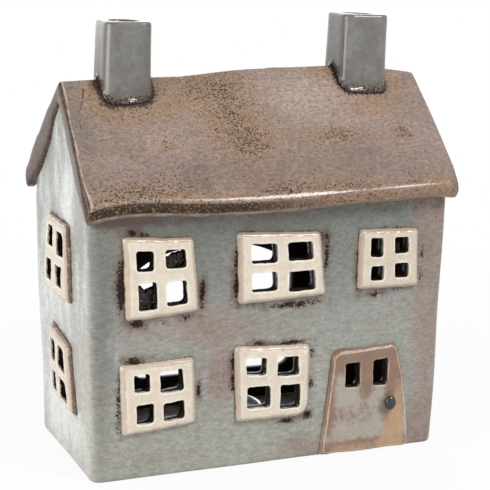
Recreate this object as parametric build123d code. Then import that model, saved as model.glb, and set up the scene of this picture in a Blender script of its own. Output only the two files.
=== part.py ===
from build123d import *
import math
import os
from collections import namedtuple

# All sizes are millimetres and degrees. The front faces -Y and the base stands on Z = 0.

# Walls and floor
HOUSE_WIDTH = 182.4
HOUSE_DEPTH = 88.0
WALL_HEIGHT = 132.8
WALL = 5.0
FLOOR = 5.5
LEFT_LEAN = 1.2
RIGHT_LEAN = 0.8
CORNER_RADIUS = 4.5
CORNER_LAND = 0.4
FOOT_RADIUS = 1.8

# Roof: the ridge climbs to the right by its tilt, and the eaves wander in and out by hand.
# The waves give places along the eave and how far out it is there, as shares of its overhang.
RIDGE_HEIGHT = 187.8
RIDGE_TILT = 1.05
RIDGE_RADIUS = 2.0
ROOF_THICKNESS = 8.5
EAVE_OVERHANG = 8.0
VERGE = 0.3
LEFT_EAVE_SPREAD = 2.2
RIGHT_EAVE_SPREAD = 0.2
EAVE_UPPER_RADIUS = 5.0
EAVE_LOWER_RADIUS = 2.5
FRONT_EAVE_WAVE = ((0.0, 0.1), (0.2, -0.12), (0.32, 0.05), (0.55, 0.1), (0.8, -0.03), (1.0, -0.1))
REAR_EAVE_WAVE = ((0.0, 0.26), (0.25, 0.14), (0.5, -0.06), (0.75, 0.04), (1.0, -0.08))

# Chimneys: square tubes with soft corners, saddled over the ridge
LEFT_CHIMNEY_WIDTH = 24.8
LEFT_CHIMNEY_INSET = 27.5
LEFT_CHIMNEY_RISE = 24.2
RIGHT_CHIMNEY_WIDTH = 26.6
RIGHT_CHIMNEY_INSET = 31.2
RIGHT_CHIMNEY_RISE = 27.7
CHIMNEY_CORNER = 6.0
CHIMNEY_TAPER = 1.0
CHIMNEY_RIM_RADIUS = 1.2
FLUE_DIAMETER = 14.5
FLUE_LIP_RADIUS = 0.9
SADDLE_CLEARANCE = 0.3

# Rear opening: a wide arch with a sill
ARCH_WIDTH = 92.0
ARCH_OFFSET = 1.5
ARCH_SILL = 21.0
ARCH_SIDE = 51.0
ARCH_RISE = 19.5
ARCH_FOOT_RADIUS = 8.0

# Window tiles: hand-cut four-sided slabs with four panes cut through tile and wall
TILE_THICKNESS = 3.0
TILE_CORNER = 1.3
TILE_EDGE_RADIUS = 1.0
PANE_CORNER = 1.3
WINDOW_SIZE = 36.0
WINDOW_FOOT = 11.9
WINDOW_HEAD = 5.3
LOWER_MIDDLE_SHARE = 0.6

# Tiles are shares of the window size, since no two were cut alike.
# A tile's centre is given from its column and row, then come its four sides.
# The skew moves the top and bottom edges apart sideways, and the tilt raises the right side.
# The last value is the radius of the lower right corner, as a share of the other corners.
Tile = namedtuple("Tile", "across up top bottom left right skew tilt soft", defaults=(1.0,))
TILE_UPPER_LEFT = Tile(0.044, -0.025, 0.908, 0.969, 1.067, 0.956, -0.039, 0.006)
TILE_UPPER_MIDDLE = Tile(0.042, 0.006, 1.153, 1.242, 0.939, 0.856, -0.044, -0.011)
TILE_UPPER_RIGHT = Tile(-0.033, 0.011, 0.875, 0.903, 0.800, 0.786, -0.014, -0.008)
TILE_LOWER_LEFT = Tile(0.033, -0.008, 0.986, 0.986, 0.925, 0.872, -0.017, 0.033)
TILE_LOWER_MIDDLE = Tile(0.012, 0.006, 1.067, 1.025, 1.017, 0.978, -0.008, -0.022, 5.0)
TILE_GABLE_UPPER = Tile(-0.031, 0.019, 0.817, 0.964, 1.019, 1.014, 0.044, -0.017)
TILE_GABLE_LOWER = Tile(0.025, 0.083, 0.833, 0.933, 0.953, 0.864, -0.064, -0.047)

# Panes are shares of their tile, across from its left side and down from its top.
Pane = namedtuple("Pane", "left right top bottom")
PANES_UPPER_LEFT = (
    Pane(0.145, 0.398, 0.150, 0.405),
    Pane(0.568, 0.869, 0.134, 0.381),
    Pane(0.153, 0.424, 0.547, 0.897),
    Pane(0.555, 0.855, 0.556, 0.878),
)
PANES_UPPER_MIDDLE = (
    Pane(0.129, 0.448, 0.141, 0.429),
    Pane(0.578, 0.889, 0.131, 0.415),
    Pane(0.128, 0.435, 0.566, 0.852),
    Pane(0.564, 0.894, 0.581, 0.894),
)
PANES_UPPER_RIGHT = (
    Pane(0.157, 0.385, 0.116, 0.456),
    Pane(0.579, 0.833, 0.119, 0.408),
    Pane(0.174, 0.403, 0.613, 0.869),
    Pane(0.589, 0.829, 0.578, 0.836),
)
PANES_LOWER_LEFT = (
    Pane(0.147, 0.371, 0.124, 0.398),
    Pane(0.511, 0.836, 0.114, 0.451),
    Pane(0.171, 0.413, 0.574, 0.870),
    Pane(0.547, 0.842, 0.607, 0.890),
)
PANES_LOWER_MIDDLE = (
    Pane(0.119, 0.401, 0.133, 0.375),
    Pane(0.548, 0.847, 0.133, 0.407),
    Pane(0.125, 0.457, 0.534, 0.839),
    Pane(0.592, 0.880, 0.533, 0.879),
)
PANES_GABLE_UPPER = (
    Pane(0.170, 0.430, 0.095, 0.382),
    Pane(0.590, 0.910, 0.108, 0.430),
    Pane(0.105, 0.370, 0.567, 0.870),
    Pane(0.533, 0.820, 0.577, 0.870),
)
PANES_GABLE_LOWER = (
    Pane(0.095, 0.345, 0.140, 0.475),
    Pane(0.470, 0.850, 0.110, 0.470),
    Pane(0.095, 0.330, 0.615, 0.910),
    Pane(0.470, 0.845, 0.590, 0.915),
)

# Door: a tapering slab with two panes and a knob
DOOR_SHIFT = 9.8
DOOR_BOTTOM = 49.0
DOOR_TOP = 34.6
DOOR_TOP_SHIFT = -2.0
DOOR_HEIGHT = 53.0
DOOR_THICKNESS = 2.5
DOOR_LIFT = 0.8
DOOR_BULGE = 1.5
DOOR_TOP_RADIUS = 4.0
DOOR_FOOT_RADIUS = 1.5
DOOR_EDGE_RADIUS = 0.9
DOOR_PANE_WIDTH = 8.3
DOOR_PANE_HEIGHT = 13.0
DOOR_PANE_GAP = 7.0
DOOR_PANE_DROP = 12.9
DOOR_PANE_SHIFT = 0.8
KNOB_DIAMETER = 6.2
KNOB_DEPTH = 4.6
KNOB_NECK_DIAMETER = 3.6
KNOB_SHIFT = 11.4
KNOB_HEIGHT = 25.5

# Tealight: a thin metal cup with a wax puck, a wick and the wick's metal foot
TEALIGHT_ACROSS = -13.0
TEALIGHT_FORWARD = 12.0
CUP_DIAMETER = 38.0
CUP_HEIGHT = 15.5
CUP_WALL = 0.6
CUP_LIP = 0.7
CUP_FOOT_CHAMFER = 1.0
WAX_CLEARANCE = 0.3
WAX_DEPTH = 11.5
WAX_EDGE_RADIUS = 0.8
WICK_DIAMETER = 1.8
WICK_SHOW = 7.0
WICK_CLEARANCE = 0.1
FOOT_DIAMETER = 13.0
FOOT_THICKNESS = 0.5
FOOT_NECK_WALL = 0.5
FOOT_NECK_HEIGHT = 3.5

# Worked out from the sizes above
SIDE = HOUSE_WIDTH / 2
FACE = HOUSE_DEPTH / 2
INSIDE = FACE - WALL
ROOF_RISE = RIDGE_HEIGHT - WALL_HEIGHT
ROOF_PITCH = math.acos(ROOF_THICKNESS / math.hypot(ROOF_RISE, FACE)) - math.atan2(FACE, ROOF_RISE)
TAN_PITCH = math.tan(ROOF_PITCH)
TAN_TILT = math.tan(math.radians(RIDGE_TILT))
TAN_LEFT = math.tan(math.radians(LEFT_LEAN))
TAN_RIGHT = math.tan(math.radians(RIGHT_LEAN))
ROOF_DROP = ROOF_THICKNESS / math.cos(ROOF_PITCH)
STOREY = (WALL_HEIGHT - WINDOW_FOOT - WINDOW_HEAD) / 2
LOWER_ROW = WINDOW_FOOT + STOREY / 2
UPPER_ROW = LOWER_ROW + STOREY
BAY = HOUSE_WIDTH / 3
DOOR_CENTRE = BAY - DOOR_SHIFT
ROOF_LEFT = -(SIDE + RIDGE_HEIGHT * TAN_LEFT + VERGE)
ROOF_RIGHT = SIDE + RIDGE_HEIGHT * TAN_RIGHT + VERGE
EAVE_REACH = FACE + EAVE_OVERHANG
MARGIN = HOUSE_WIDTH


def lean_plane(lean, side):
    """Plane on a gable's outer face, looking at it from outside, with its up along the wall."""
    angle = math.radians(lean)
    outward = (side * math.cos(angle), 0, -math.sin(angle))
    return Plane(origin=(side * SIDE, 0, 0), x_dir=(0, side, 0), z_dir=outward)


FRONT_FACE = Plane(origin=(0, -FACE, 0), x_dir=(1, 0, 0), z_dir=(0, -1, 0))
LEFT_FACE = lean_plane(LEFT_LEAN, -1)
RIGHT_FACE = lean_plane(RIGHT_LEAN, 1)


def rounded_face(points, radius):
    """Flat face through the points, with every corner rounded."""
    face = make_face(Polyline(*points, close=True))
    return fillet(face.vertices(), radius)


def nearest_vertex(face, point):
    """The corner of a face that lies at a point."""
    return face.vertices().sort_by_distance(point)[0]


def between(start, end, share):
    """Point at a share of the way from start to end."""
    return tuple(a + (b - a) * share for a, b in zip(start, end))


# Roof

def roof_prism(peak, radius):
    """Everything under a pair of roof planes that meet at the peak, along the tilted ridge."""
    shoulder = peak - MARGIN * TAN_PITCH
    gable = make_face(Polyline(
        (-MARGIN, -MARGIN),
        (-MARGIN, shoulder),
        (0, peak),
        (MARGIN, shoulder),
        (MARGIN, -MARGIN),
        close=True,
    ))
    if radius > 0:
        gable = fillet(gable.vertices().sort_by(Axis.Y)[-1], radius)
    along = (1, 0, TAN_TILT)
    return extrude(Plane.YZ * gable, amount=MARGIN, dir=along, both=True)


UNDER_ROOF = roof_prism(RIDGE_HEIGHT - ROOF_DROP, 0)
WHOLE_ROOF = roof_prism(RIDGE_HEIGHT, RIDGE_RADIUS)


def eave_points(wave, side):
    """Points of the hand-cut eave line, from the left end to the right end."""
    start = ROOF_LEFT - LEFT_EAVE_SPREAD
    length = ROOF_RIGHT + RIGHT_EAVE_SPREAD - start
    return [(start + share * length, side * (EAVE_REACH + out * EAVE_OVERHANG)) for share, out in wave]


def flues():
    """The two round flues, as one cutter through chimneys and roof."""
    places = (LEFT_CHIMNEY_INSET - SIDE, SIDE - RIGHT_CHIMNEY_INSET)
    tubes = [Pos(x, 0, RIDGE_HEIGHT) * Cylinder(FLUE_DIAMETER / 2, MARGIN) for x in places]
    return tubes[0] + tubes[1]


def roof_slab(wave, side):
    """One roof slab, mitred at the ridge, with a rounded, wandering eave."""
    eave = eave_points(wave, side)
    outline = make_face([
        Spline(*eave),
        Polyline(eave[-1], (ROOF_RIGHT, 0), (ROOF_LEFT, 0), eave[0]),
    ])
    plan = extrude(outline, amount=RIDGE_HEIGHT + MARGIN)
    slab = (WHOLE_ROOF - UNDER_ROOF) & plan
    nose = slab.faces().sort_by(Axis.Y)[0 if side < 0 else -1]
    slab = fillet(nose.edges().sort_by(Axis.Z)[-1], EAVE_UPPER_RADIUS)
    lower = slab.edges().filter_by(lambda edge: edge.length > HOUSE_WIDTH).sort_by(Axis.Z)[0]
    slab = fillet(lower, EAVE_LOWER_RADIUS)
    return slab - flues()


# Walls

def front_outline(bottom, top):
    """Outline between the two leaning gables, from a bottom height to a top height."""
    inner = SIDE - WALL
    return make_face(Polyline(
        (-inner - bottom * TAN_LEFT, bottom),
        (inner + bottom * TAN_RIGHT, bottom),
        (inner + top * TAN_RIGHT, top),
        (-inner - top * TAN_LEFT, top),
        close=True,
    ))


def long_wall(side):
    """Front or rear wall, standing between the gables and cut to the roof, with a soft foot."""
    plane = Plane.XZ.offset(-side * INSIDE)
    wall = extrude(plane * front_outline(0, RIDGE_HEIGHT), amount=-side * WALL)
    foot = wall.edges().group_by(Axis.Z)[0].sort_by(Axis.Y)[0 if side < 0 else -1]
    wall = fillet(foot, FOOT_RADIUS)
    return wall & UNDER_ROOF


def gable_wall(side):
    """Gable wall, leaning outwards, with round upright corners."""
    lean = TAN_LEFT if side < 0 else TAN_RIGHT
    radius = min(CORNER_RADIUS, WALL - CORNER_LAND)
    plan = Pos(side * (SIDE - WALL / 2), 0) * Rectangle(WALL, HOUSE_DEPTH)
    corners = plan.vertices().sort_by(Axis.X)
    plan = fillet(corners[:2] if side < 0 else corners[-2:], radius)
    wall = extrude(plan, amount=RIDGE_HEIGHT, dir=(side * lean, 0, 1))
    foot = wall.edges().group_by(Axis.Z)[0].sort_by(Axis.X)
    wall = fillet(foot[:-1] if side < 0 else foot[1:], FOOT_RADIUS)
    return wall & UNDER_ROOF


def floor_slab():
    """Floor, set inside the four walls."""
    return extrude(Plane.XZ * front_outline(0, FLOOR), amount=INSIDE, both=True)


def rear_arch():
    """Cutter for the arched opening in the rear wall."""
    half = ARCH_WIDTH / 2
    spring = ARCH_SILL + ARCH_SIDE
    left, right = ARCH_OFFSET - half, ARCH_OFFSET + half
    outline = make_face([
        Polyline((left, spring), (left, ARCH_SILL), (right, ARCH_SILL), (right, spring)),
        EllipticalCenterArc((ARCH_OFFSET, spring), half, ARCH_RISE, 0, arc_size=180),
    ])
    feet = outline.vertices().group_by(Axis.Y)[0]
    outline = fillet(feet, ARCH_FOOT_RADIUS)
    return extrude(Plane.XZ * outline, amount=-HOUSE_DEPTH)


# Windows and door

def sized(tile):
    """A tile's shares as lengths."""
    lengths = [share * WINDOW_SIZE for share in tile[:-1]]
    return Tile(*lengths, tile.soft * TILE_CORNER)


def tile_corners(tile, column, row):
    """Corners of a sized tile, from the upper left, clockwise seen from outside."""
    x, z = column + tile.across, row + tile.up
    left, right = z - tile.tilt, z + tile.tilt
    upper, lower = x + tile.skew, x - tile.skew
    return (
        (upper - tile.top / 2, left + tile.left / 2),
        (upper + tile.top / 2, right + tile.right / 2),
        (lower + tile.bottom / 2, right - tile.right / 2),
        (lower - tile.bottom / 2, left - tile.left / 2),
    )


def pane_faces(panes, corners):
    """The panes of a tile, each hand-cut to its own shares of the tile."""
    top_left, top_right, low_right, low_left = corners

    def spot(across, down):
        return between(between(top_left, top_right, across), between(low_left, low_right, across), down)

    faces = []
    for left, right, top, bottom in panes:
        points = [spot(left, top), spot(right, top), spot(right, bottom), spot(left, bottom)]
        faces.append(rounded_face(points, PANE_CORNER))
    return faces


def cut_panes(plane, faces):
    """Cutter for panes, through what is applied to the wall and through the wall itself."""
    depth = WALL + TILE_THICKNESS + DOOR_THICKNESS
    cutters = [extrude(plane * face, amount=depth, both=True) for face in faces]
    return Part() + cutters


def window_tile(plane, tile, panes, column, row):
    """A window tile on a wall, and the cutter for its panes."""
    tile = sized(tile)
    corners = tile_corners(tile, column, row)
    outline = make_face(Polyline(*corners, close=True))
    outline = fillet(nearest_vertex(outline, corners[2]), tile.soft)
    sharp = [nearest_vertex(outline, corners[i]) for i in (0, 1, 3)]
    slab = extrude(plane * fillet(sharp, TILE_CORNER), amount=TILE_THICKNESS)
    outside = slab.faces().sort_by(Axis(plane.origin, plane.z_dir))[-1]
    slab = fillet(outside.edges(), TILE_EDGE_RADIUS)
    cutter = cut_panes(plane, pane_faces(panes, corners))
    return slab - cutter, cutter


def mirrored(tile):
    """The same tile, mirrored left to right."""
    return tile._replace(
        across=-tile.across, left=tile.right, right=tile.left, skew=-tile.skew, tilt=-tile.tilt)


def mirrored_panes(panes):
    """The same panes, mirrored left to right."""
    return [pane._replace(left=1 - pane.right, right=1 - pane.left) for pane in panes]


def door_slab():
    """The door on the front wall, and the cutter for its two panes."""
    top = DOOR_LIFT + DOOR_HEIGHT
    low_left = (DOOR_CENTRE - DOOR_BOTTOM / 2, DOOR_LIFT)
    low_right = (DOOR_CENTRE + DOOR_BOTTOM / 2, DOOR_LIFT)
    middle = DOOR_CENTRE + DOOR_TOP_SHIFT
    top_left, top_right = (middle - DOOR_TOP / 2, top), (middle + DOOR_TOP / 2, top)
    belly = between(low_right, top_right, 0.5)
    outline = make_face([
        Polyline(top_right, top_left, low_left, low_right),
        ThreePointArc(low_right, (belly[0] + DOOR_BULGE, belly[1]), top_right),
    ])
    rows = outline.vertices().group_by(Axis.Y)
    outline = fillet(rows[-1], DOOR_TOP_RADIUS)
    outline = fillet(outline.vertices().group_by(Axis.Y)[0], DOOR_FOOT_RADIUS)
    slab = extrude(FRONT_FACE * outline, amount=DOOR_THICKNESS)
    slab = fillet(slab.faces().sort_by(Axis.Y)[0].edges(), DOOR_EDGE_RADIUS)
    pane = RectangleRounded(DOOR_PANE_WIDTH, DOOR_PANE_HEIGHT, PANE_CORNER)
    step = (DOOR_PANE_WIDTH + DOOR_PANE_GAP) / 2
    place = middle + DOOR_PANE_SHIFT
    panes = cut_panes(FRONT_FACE, [Pos(place + s * step, top - DOOR_PANE_DROP) * pane for s in (-1, 1)])
    return slab - panes, panes


def door_knob():
    """Round knob on a short neck, on the door's face."""
    radius, neck = KNOB_DIAMETER / 2, KNOB_NECK_DIAMETER / 2
    profile = make_face([
        Polyline((0, KNOB_DEPTH), (0, 0), (neck, 0)),
        Spline((neck, 0), (radius, KNOB_DEPTH / 2), (0, KNOB_DEPTH), tangents=((0, 1), (-1, 0))),
    ])
    knob = revolve(Plane.XZ * profile, Axis.Z)
    face = FRONT_FACE.offset(DOOR_THICKNESS)
    return face * Pos(DOOR_CENTRE + KNOB_SHIFT, KNOB_HEIGHT) * knob


# Chimneys

def chimney(x, width, rise):
    """Hollow chimney, tapering upwards, with its foot cut to the ridge."""
    drop = MARGIN * TAN_TILT + width * TAN_PITCH
    outline = RectangleRounded(width, width, CHIMNEY_CORNER)
    tube = extrude(Pos(x, 0, RIDGE_HEIGHT - drop) * outline, amount=drop + rise, taper=CHIMNEY_TAPER)
    tube = fillet(tube.faces().sort_by(Axis.Z)[-1].edges(), CHIMNEY_RIM_RADIUS)
    tube -= flues()
    lip = tube.faces().sort_by(Axis.Z)[-1].inner_wires()[0]
    tube = fillet(lip.edges(), FLUE_LIP_RADIUS)
    return tube - roof_prism(RIDGE_HEIGHT, RIDGE_RADIUS - SADDLE_CLEARANCE)


# Tealight

def on_floor(shape):
    """Set a part of the tealight where it stands on the floor."""
    return Pos(TEALIGHT_ACROSS, -TEALIGHT_FORWARD, FLOOR) * shape


def turned(points):
    """Solid turned about Z from its half section."""
    return revolve(Plane.XZ * make_face(Polyline(*points, close=True)), Axis.Z)


def tealight_cup():
    """Thin metal cup with a turned-out lip."""
    outer, inner = CUP_DIAMETER / 2, CUP_DIAMETER / 2 - CUP_WALL
    return on_floor(turned([
        (0, 0),
        (outer - CUP_FOOT_CHAMFER, 0),
        (outer, CUP_FOOT_CHAMFER),
        (outer, CUP_HEIGHT - CUP_WALL),
        (outer + CUP_LIP, CUP_HEIGHT - CUP_WALL),
        (outer + CUP_LIP, CUP_HEIGHT),
        (inner, CUP_HEIGHT),
        (inner, CUP_FOOT_CHAMFER + CUP_WALL),
        (inner - CUP_FOOT_CHAMFER, CUP_WALL),
        (0, CUP_WALL),
    ]))


def wick_foot():
    """Metal disc with a short neck that holds the wick upright in the wax."""
    bore = WICK_DIAMETER / 2 + WICK_CLEARANCE
    disc = turned([
        (bore, CUP_WALL),
        (FOOT_DIAMETER / 2, CUP_WALL),
        (FOOT_DIAMETER / 2, CUP_WALL + FOOT_THICKNESS),
        (bore + FOOT_NECK_WALL, CUP_WALL + FOOT_THICKNESS),
        (bore + FOOT_NECK_WALL, CUP_WALL + FOOT_NECK_HEIGHT),
        (bore, CUP_WALL + FOOT_NECK_HEIGHT),
    ])
    return on_floor(disc)


def wick():
    """Straight wick, from the cup's floor to above the wax."""
    length = WAX_DEPTH + WICK_SHOW
    return on_floor(Pos(0, 0, CUP_WALL + length / 2) * Cylinder(WICK_DIAMETER / 2, length))


def wax_puck():
    """Wax in the cup, with room for the wick and its foot."""
    radius = CUP_DIAMETER / 2 - CUP_WALL - WAX_CLEARANCE
    bore = WICK_DIAMETER / 2 + WICK_CLEARANCE
    neck = bore + FOOT_NECK_WALL + WICK_CLEARANCE
    disc = FOOT_DIAMETER / 2 + WICK_CLEARANCE
    floor, top = CUP_WALL, CUP_WALL + WAX_DEPTH
    disc_top = floor + FOOT_THICKNESS + WICK_CLEARANCE
    neck_top = floor + FOOT_NECK_HEIGHT + WICK_CLEARANCE
    return on_floor(turned([
        (disc, floor),
        (radius - CUP_FOOT_CHAMFER, floor),
        (radius, floor + CUP_FOOT_CHAMFER),
        (radius, top - WAX_EDGE_RADIUS),
        (radius - WAX_EDGE_RADIUS, top),
        (bore, top),
        (bore, neck_top),
        (neck, neck_top),
        (neck, disc_top),
        (disc, disc_top),
    ]))


# Assembly

# The lower middle window stands between the lower left window and the door.
BESIDE_WINDOW = WINDOW_SIZE / 2 - BAY
BESIDE_DOOR = DOOR_CENTRE - DOOR_BOTTOM / 2
LOWER_MIDDLE = BESIDE_WINDOW + LOWER_MIDDLE_SHARE * (BESIDE_DOOR - BESIDE_WINDOW)
FRONT_WINDOWS = (
    ("window_upper_left", TILE_UPPER_LEFT, PANES_UPPER_LEFT, -BAY, UPPER_ROW),
    ("window_upper_middle", TILE_UPPER_MIDDLE, PANES_UPPER_MIDDLE, 0.0, UPPER_ROW),
    ("window_upper_right", TILE_UPPER_RIGHT, PANES_UPPER_RIGHT, BAY, UPPER_ROW),
    ("window_lower_left", TILE_LOWER_LEFT, PANES_LOWER_LEFT, -BAY, LOWER_ROW),
    ("window_lower_middle", TILE_LOWER_MIDDLE, PANES_LOWER_MIDDLE, LOWER_MIDDLE, LOWER_ROW),
)
GABLE_WINDOWS = (
    ("gable_window_upper", TILE_GABLE_UPPER, PANES_GABLE_UPPER, UPPER_ROW),
    ("gable_window_lower", TILE_GABLE_LOWER, PANES_GABLE_LOWER, LOWER_ROW),
)

nodes = {
    "floor_slab": floor_slab(),
    "front_wall": long_wall(-1),
    "rear_wall": long_wall(1) - rear_arch(),
    "left_gable_wall": gable_wall(-1),
    "right_gable_wall": gable_wall(1),
    "front_roof_slab": roof_slab(FRONT_EAVE_WAVE, -1),
    "rear_roof_slab": roof_slab(REAR_EAVE_WAVE, 1),
    "left_chimney": chimney(LEFT_CHIMNEY_INSET - SIDE, LEFT_CHIMNEY_WIDTH, LEFT_CHIMNEY_RISE),
    "right_chimney": chimney(SIDE - RIGHT_CHIMNEY_INSET, RIGHT_CHIMNEY_WIDTH, RIGHT_CHIMNEY_RISE),
}
for name, tile, panes, column, row in FRONT_WINDOWS:
    nodes[name], cutter = window_tile(FRONT_FACE, tile, panes, column, row)
    nodes["front_wall"] -= cutter
for name, tile, panes, row in GABLE_WINDOWS:
    nodes[f"left_{name}"], cutter = window_tile(LEFT_FACE, tile, panes, 0.0, row)
    nodes["left_gable_wall"] -= cutter
    other, twins = mirrored(tile), mirrored_panes(panes)
    nodes[f"right_{name}"], cutter = window_tile(RIGHT_FACE, other, twins, 0.0, row)
    nodes["right_gable_wall"] -= cutter
nodes["front_door"], cutter = door_slab()
nodes["front_wall"] -= cutter
nodes["door_knob"] = door_knob()
nodes["tealight_cup"] = tealight_cup()
nodes["tealight_wax"] = wax_puck()
nodes["wick"] = wick()
nodes["wick_foot"] = wick_foot()

os.makedirs("parts", exist_ok=True)
for name, shape in nodes.items():
    export_step(shape, f"parts/{name}.step")
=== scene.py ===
import math

import bmesh
import bpy
import numpy as np
from mathutils import Matrix, Vector, geometry, noise


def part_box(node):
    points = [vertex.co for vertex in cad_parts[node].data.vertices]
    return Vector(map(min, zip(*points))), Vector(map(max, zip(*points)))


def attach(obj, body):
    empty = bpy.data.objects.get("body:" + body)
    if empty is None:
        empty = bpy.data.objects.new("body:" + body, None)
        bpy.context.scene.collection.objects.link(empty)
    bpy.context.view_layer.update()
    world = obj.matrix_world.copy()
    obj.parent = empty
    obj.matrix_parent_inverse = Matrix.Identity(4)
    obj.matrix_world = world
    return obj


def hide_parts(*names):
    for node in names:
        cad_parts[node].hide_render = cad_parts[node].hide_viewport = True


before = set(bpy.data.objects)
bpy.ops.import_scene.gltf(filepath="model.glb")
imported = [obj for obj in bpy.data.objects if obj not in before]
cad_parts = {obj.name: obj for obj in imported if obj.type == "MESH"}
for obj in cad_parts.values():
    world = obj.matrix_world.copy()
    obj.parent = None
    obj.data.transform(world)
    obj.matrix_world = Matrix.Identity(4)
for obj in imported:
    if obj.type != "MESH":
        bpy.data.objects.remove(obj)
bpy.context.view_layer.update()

bl_info = {
    "name": "Tealight house",
    "version": (1, 0, 0),
    "blender": (4, 5, 0),
    "location": "3D View > Sidebar > Tealight house",
    "description": "Dresses the solids of a glazed clay house for a tealight",
    "category": "Object",
}

# Lengths below are millimetres. The front faces -Y and the base stands on Z = 0.
MM = 0.001

# The house as the solids have it
SIDE = 91.2
FACE = 44.0
WALL = 5.0
FLOOR = 5.5
LEFT_LEAN = math.tan(math.radians(1.2))
RIGHT_LEAN = math.tan(math.radians(0.8))
RIDGE = 187.8
RIDGE_TILT = math.tan(math.radians(1.05))
ROOF_PITCH = math.radians(44.41)
ROOF_THICKNESS = 8.5
ROOF_DROP = ROOF_THICKNESS / math.cos(ROOF_PITCH)
EAVE = 52.0
TILE_THICKNESS = 3.0
DOOR_THICKNESS = 2.5
TEALIGHT = Vector((-13.0, -12.0, FLOOR))
FRONT_WINDOWS = (
    "window_upper_left", "window_upper_middle", "window_upper_right", "window_lower_left", "window_lower_middle")
LEFT_WINDOWS = ("left_gable_window_upper", "left_gable_window_lower")
RIGHT_WINDOWS = ("right_gable_window_upper", "right_gable_window_lower")
WALL_NODES = ("front_wall", "rear_wall", "left_gable_wall", "right_gable_wall")
ROOF_NODES = ("front_roof_slab", "rear_roof_slab")
CHIMNEYS = ("left_chimney", "right_chimney")


def rgb(red, green, blue):
    """A screen colour of 0 to 255 as the linear colour that shaders take."""
    shares = [part / 255 for part in (red, green, blue)]
    return tuple(s / 12.92 if s <= 0.04045 else ((s + 0.055) / 1.055) ** 2.4 for s in shares)


# Settings

def length(name, description, default):
    """A length in millimetres that a user may change."""
    return bpy.props.FloatProperty(name=name, description=description, default=default * MM,
                                   min=0.0, unit="LENGTH", precision=5)


def colour(name, description, *screen):
    """A colour that a user may change."""
    return bpy.props.FloatVectorProperty(name=name, description=description, default=rgb(*screen),
                                         subtype="COLOR", size=3, min=0.0, max=1.0)


class TealightHouseClay(bpy.types.PropertyGroup):
    """How finely and how unevenly the clay is worked."""
    wall_grain: length("Wall grain", "Size of the walls' facets", 0.85)
    roof_grain: length("Roof grain", "Size of the roof's facets", 0.8)
    chimney_grain: length("Chimney grain", "Size of the chimneys' facets", 0.5)
    tile_grain: length("Tile grain", "Size of the window tiles' facets", 0.38)
    door_grain: length("Door grain", "Size of the door's facets", 0.45)
    hand_wave: length("Hand wave", "How far the clay wanders from flat", 0.4)
    crumb_size: length("Crumb size", "Largest crumb of glaze beside the tiles", 0.9)
    collar: length("Chimney collar", "Thickness of the glaze pooled round a chimney's foot", 1.6)
    crumbs: bpy.props.FloatProperty(name="Crumbs", description="Crumbs of glaze on a square millimetre of stain",
                                    default=1.6, min=0.0)


class TealightHouseGlazes(bpy.types.PropertyGroup):
    """Colours of the glazes."""
    wall_green: colour("Wall green", "Cool part of the wall glaze", 146, 150, 143)
    wall_grey: colour("Wall grey", "Neutral part of the wall glaze", 149, 147, 141)
    blush: colour("Blush", "Brown that shows where the wall glaze is thin", 147, 130, 122)
    rust: colour("Rust", "Small rusty spots in the wall glaze", 126, 94, 80)
    stain: colour("Stain", "Dark glaze that gathers beside the tiles", 22, 11, 5)
    soot: colour("Inside", "Glaze inside the house", 36, 29, 25)
    mauve: colour("Roof mauve", "Main colour of the roof glaze", 146, 127, 117)
    ochre: colour("Roof ochre", "Warm patches of the roof glaze", 148, 118, 88)
    speck: colour("Roof speck", "Dark specks in the roof glaze", 44, 29, 19)
    chimney: colour("Chimney grey", "Chimney glaze", 108, 105, 101)
    cream: colour("Window cream", "Window glaze", 222, 210, 193)
    door_grey: colour("Door grey", "Middle of the door", 164, 158, 146)
    door_brown: colour("Door brown", "Wash round the door's border", 130, 98, 78)
    honey: colour("Door honey", "Warm stripe down the door's right side", 190, 156, 122)
    knob: colour("Knob", "Door knob", 34, 36, 37)
    floor: colour("Floor", "Bare clay of the floor", 186, 178, 172)
    wax: colour("Wax", "Wax of the tealight", 238, 232, 220)
    metal: colour("Cup metal", "Metal of the tealight's cup", 200, 201, 203)


def clay():
    return bpy.context.scene.tealight_house_clay


def glazes():
    return bpy.context.scene.tealight_house_glazes


# Shader sockets with Python's arithmetic

class Value:
    """A shader value: arithmetic on it adds Math nodes."""

    def __init__(self, finish, socket):
        self.finish = finish
        self.socket = socket

    def math(self, operation, first, second):
        return self.finish.node("ShaderNodeMath", {"operation": operation}, {0: first, 1: second})

    def __add__(self, other):
        return self.math("ADD", self, other)

    def __sub__(self, other):
        return self.math("SUBTRACT", self, other)

    def __rsub__(self, other):
        return self.math("SUBTRACT", other, self)

    def __mul__(self, other):
        return self.math("MULTIPLY", self, other)

    __radd__ = __add__
    __rmul__ = __mul__

    def most(self, other):
        """The larger of two values."""
        return self.math("MAXIMUM", self, other)

    def rise(self, low, high):
        """0 below low, 1 above high, and a soft step between."""
        sockets = {"Value": self, "From Min": low, "From Max": high}
        return self.finish.node("ShaderNodeMapRange", {"interpolation_type": "SMOOTHSTEP"}, sockets)

    def fall(self, low, high):
        """1 below low, 0 above high, and a soft step between."""
        return 1 - self.rise(low, high)


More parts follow.
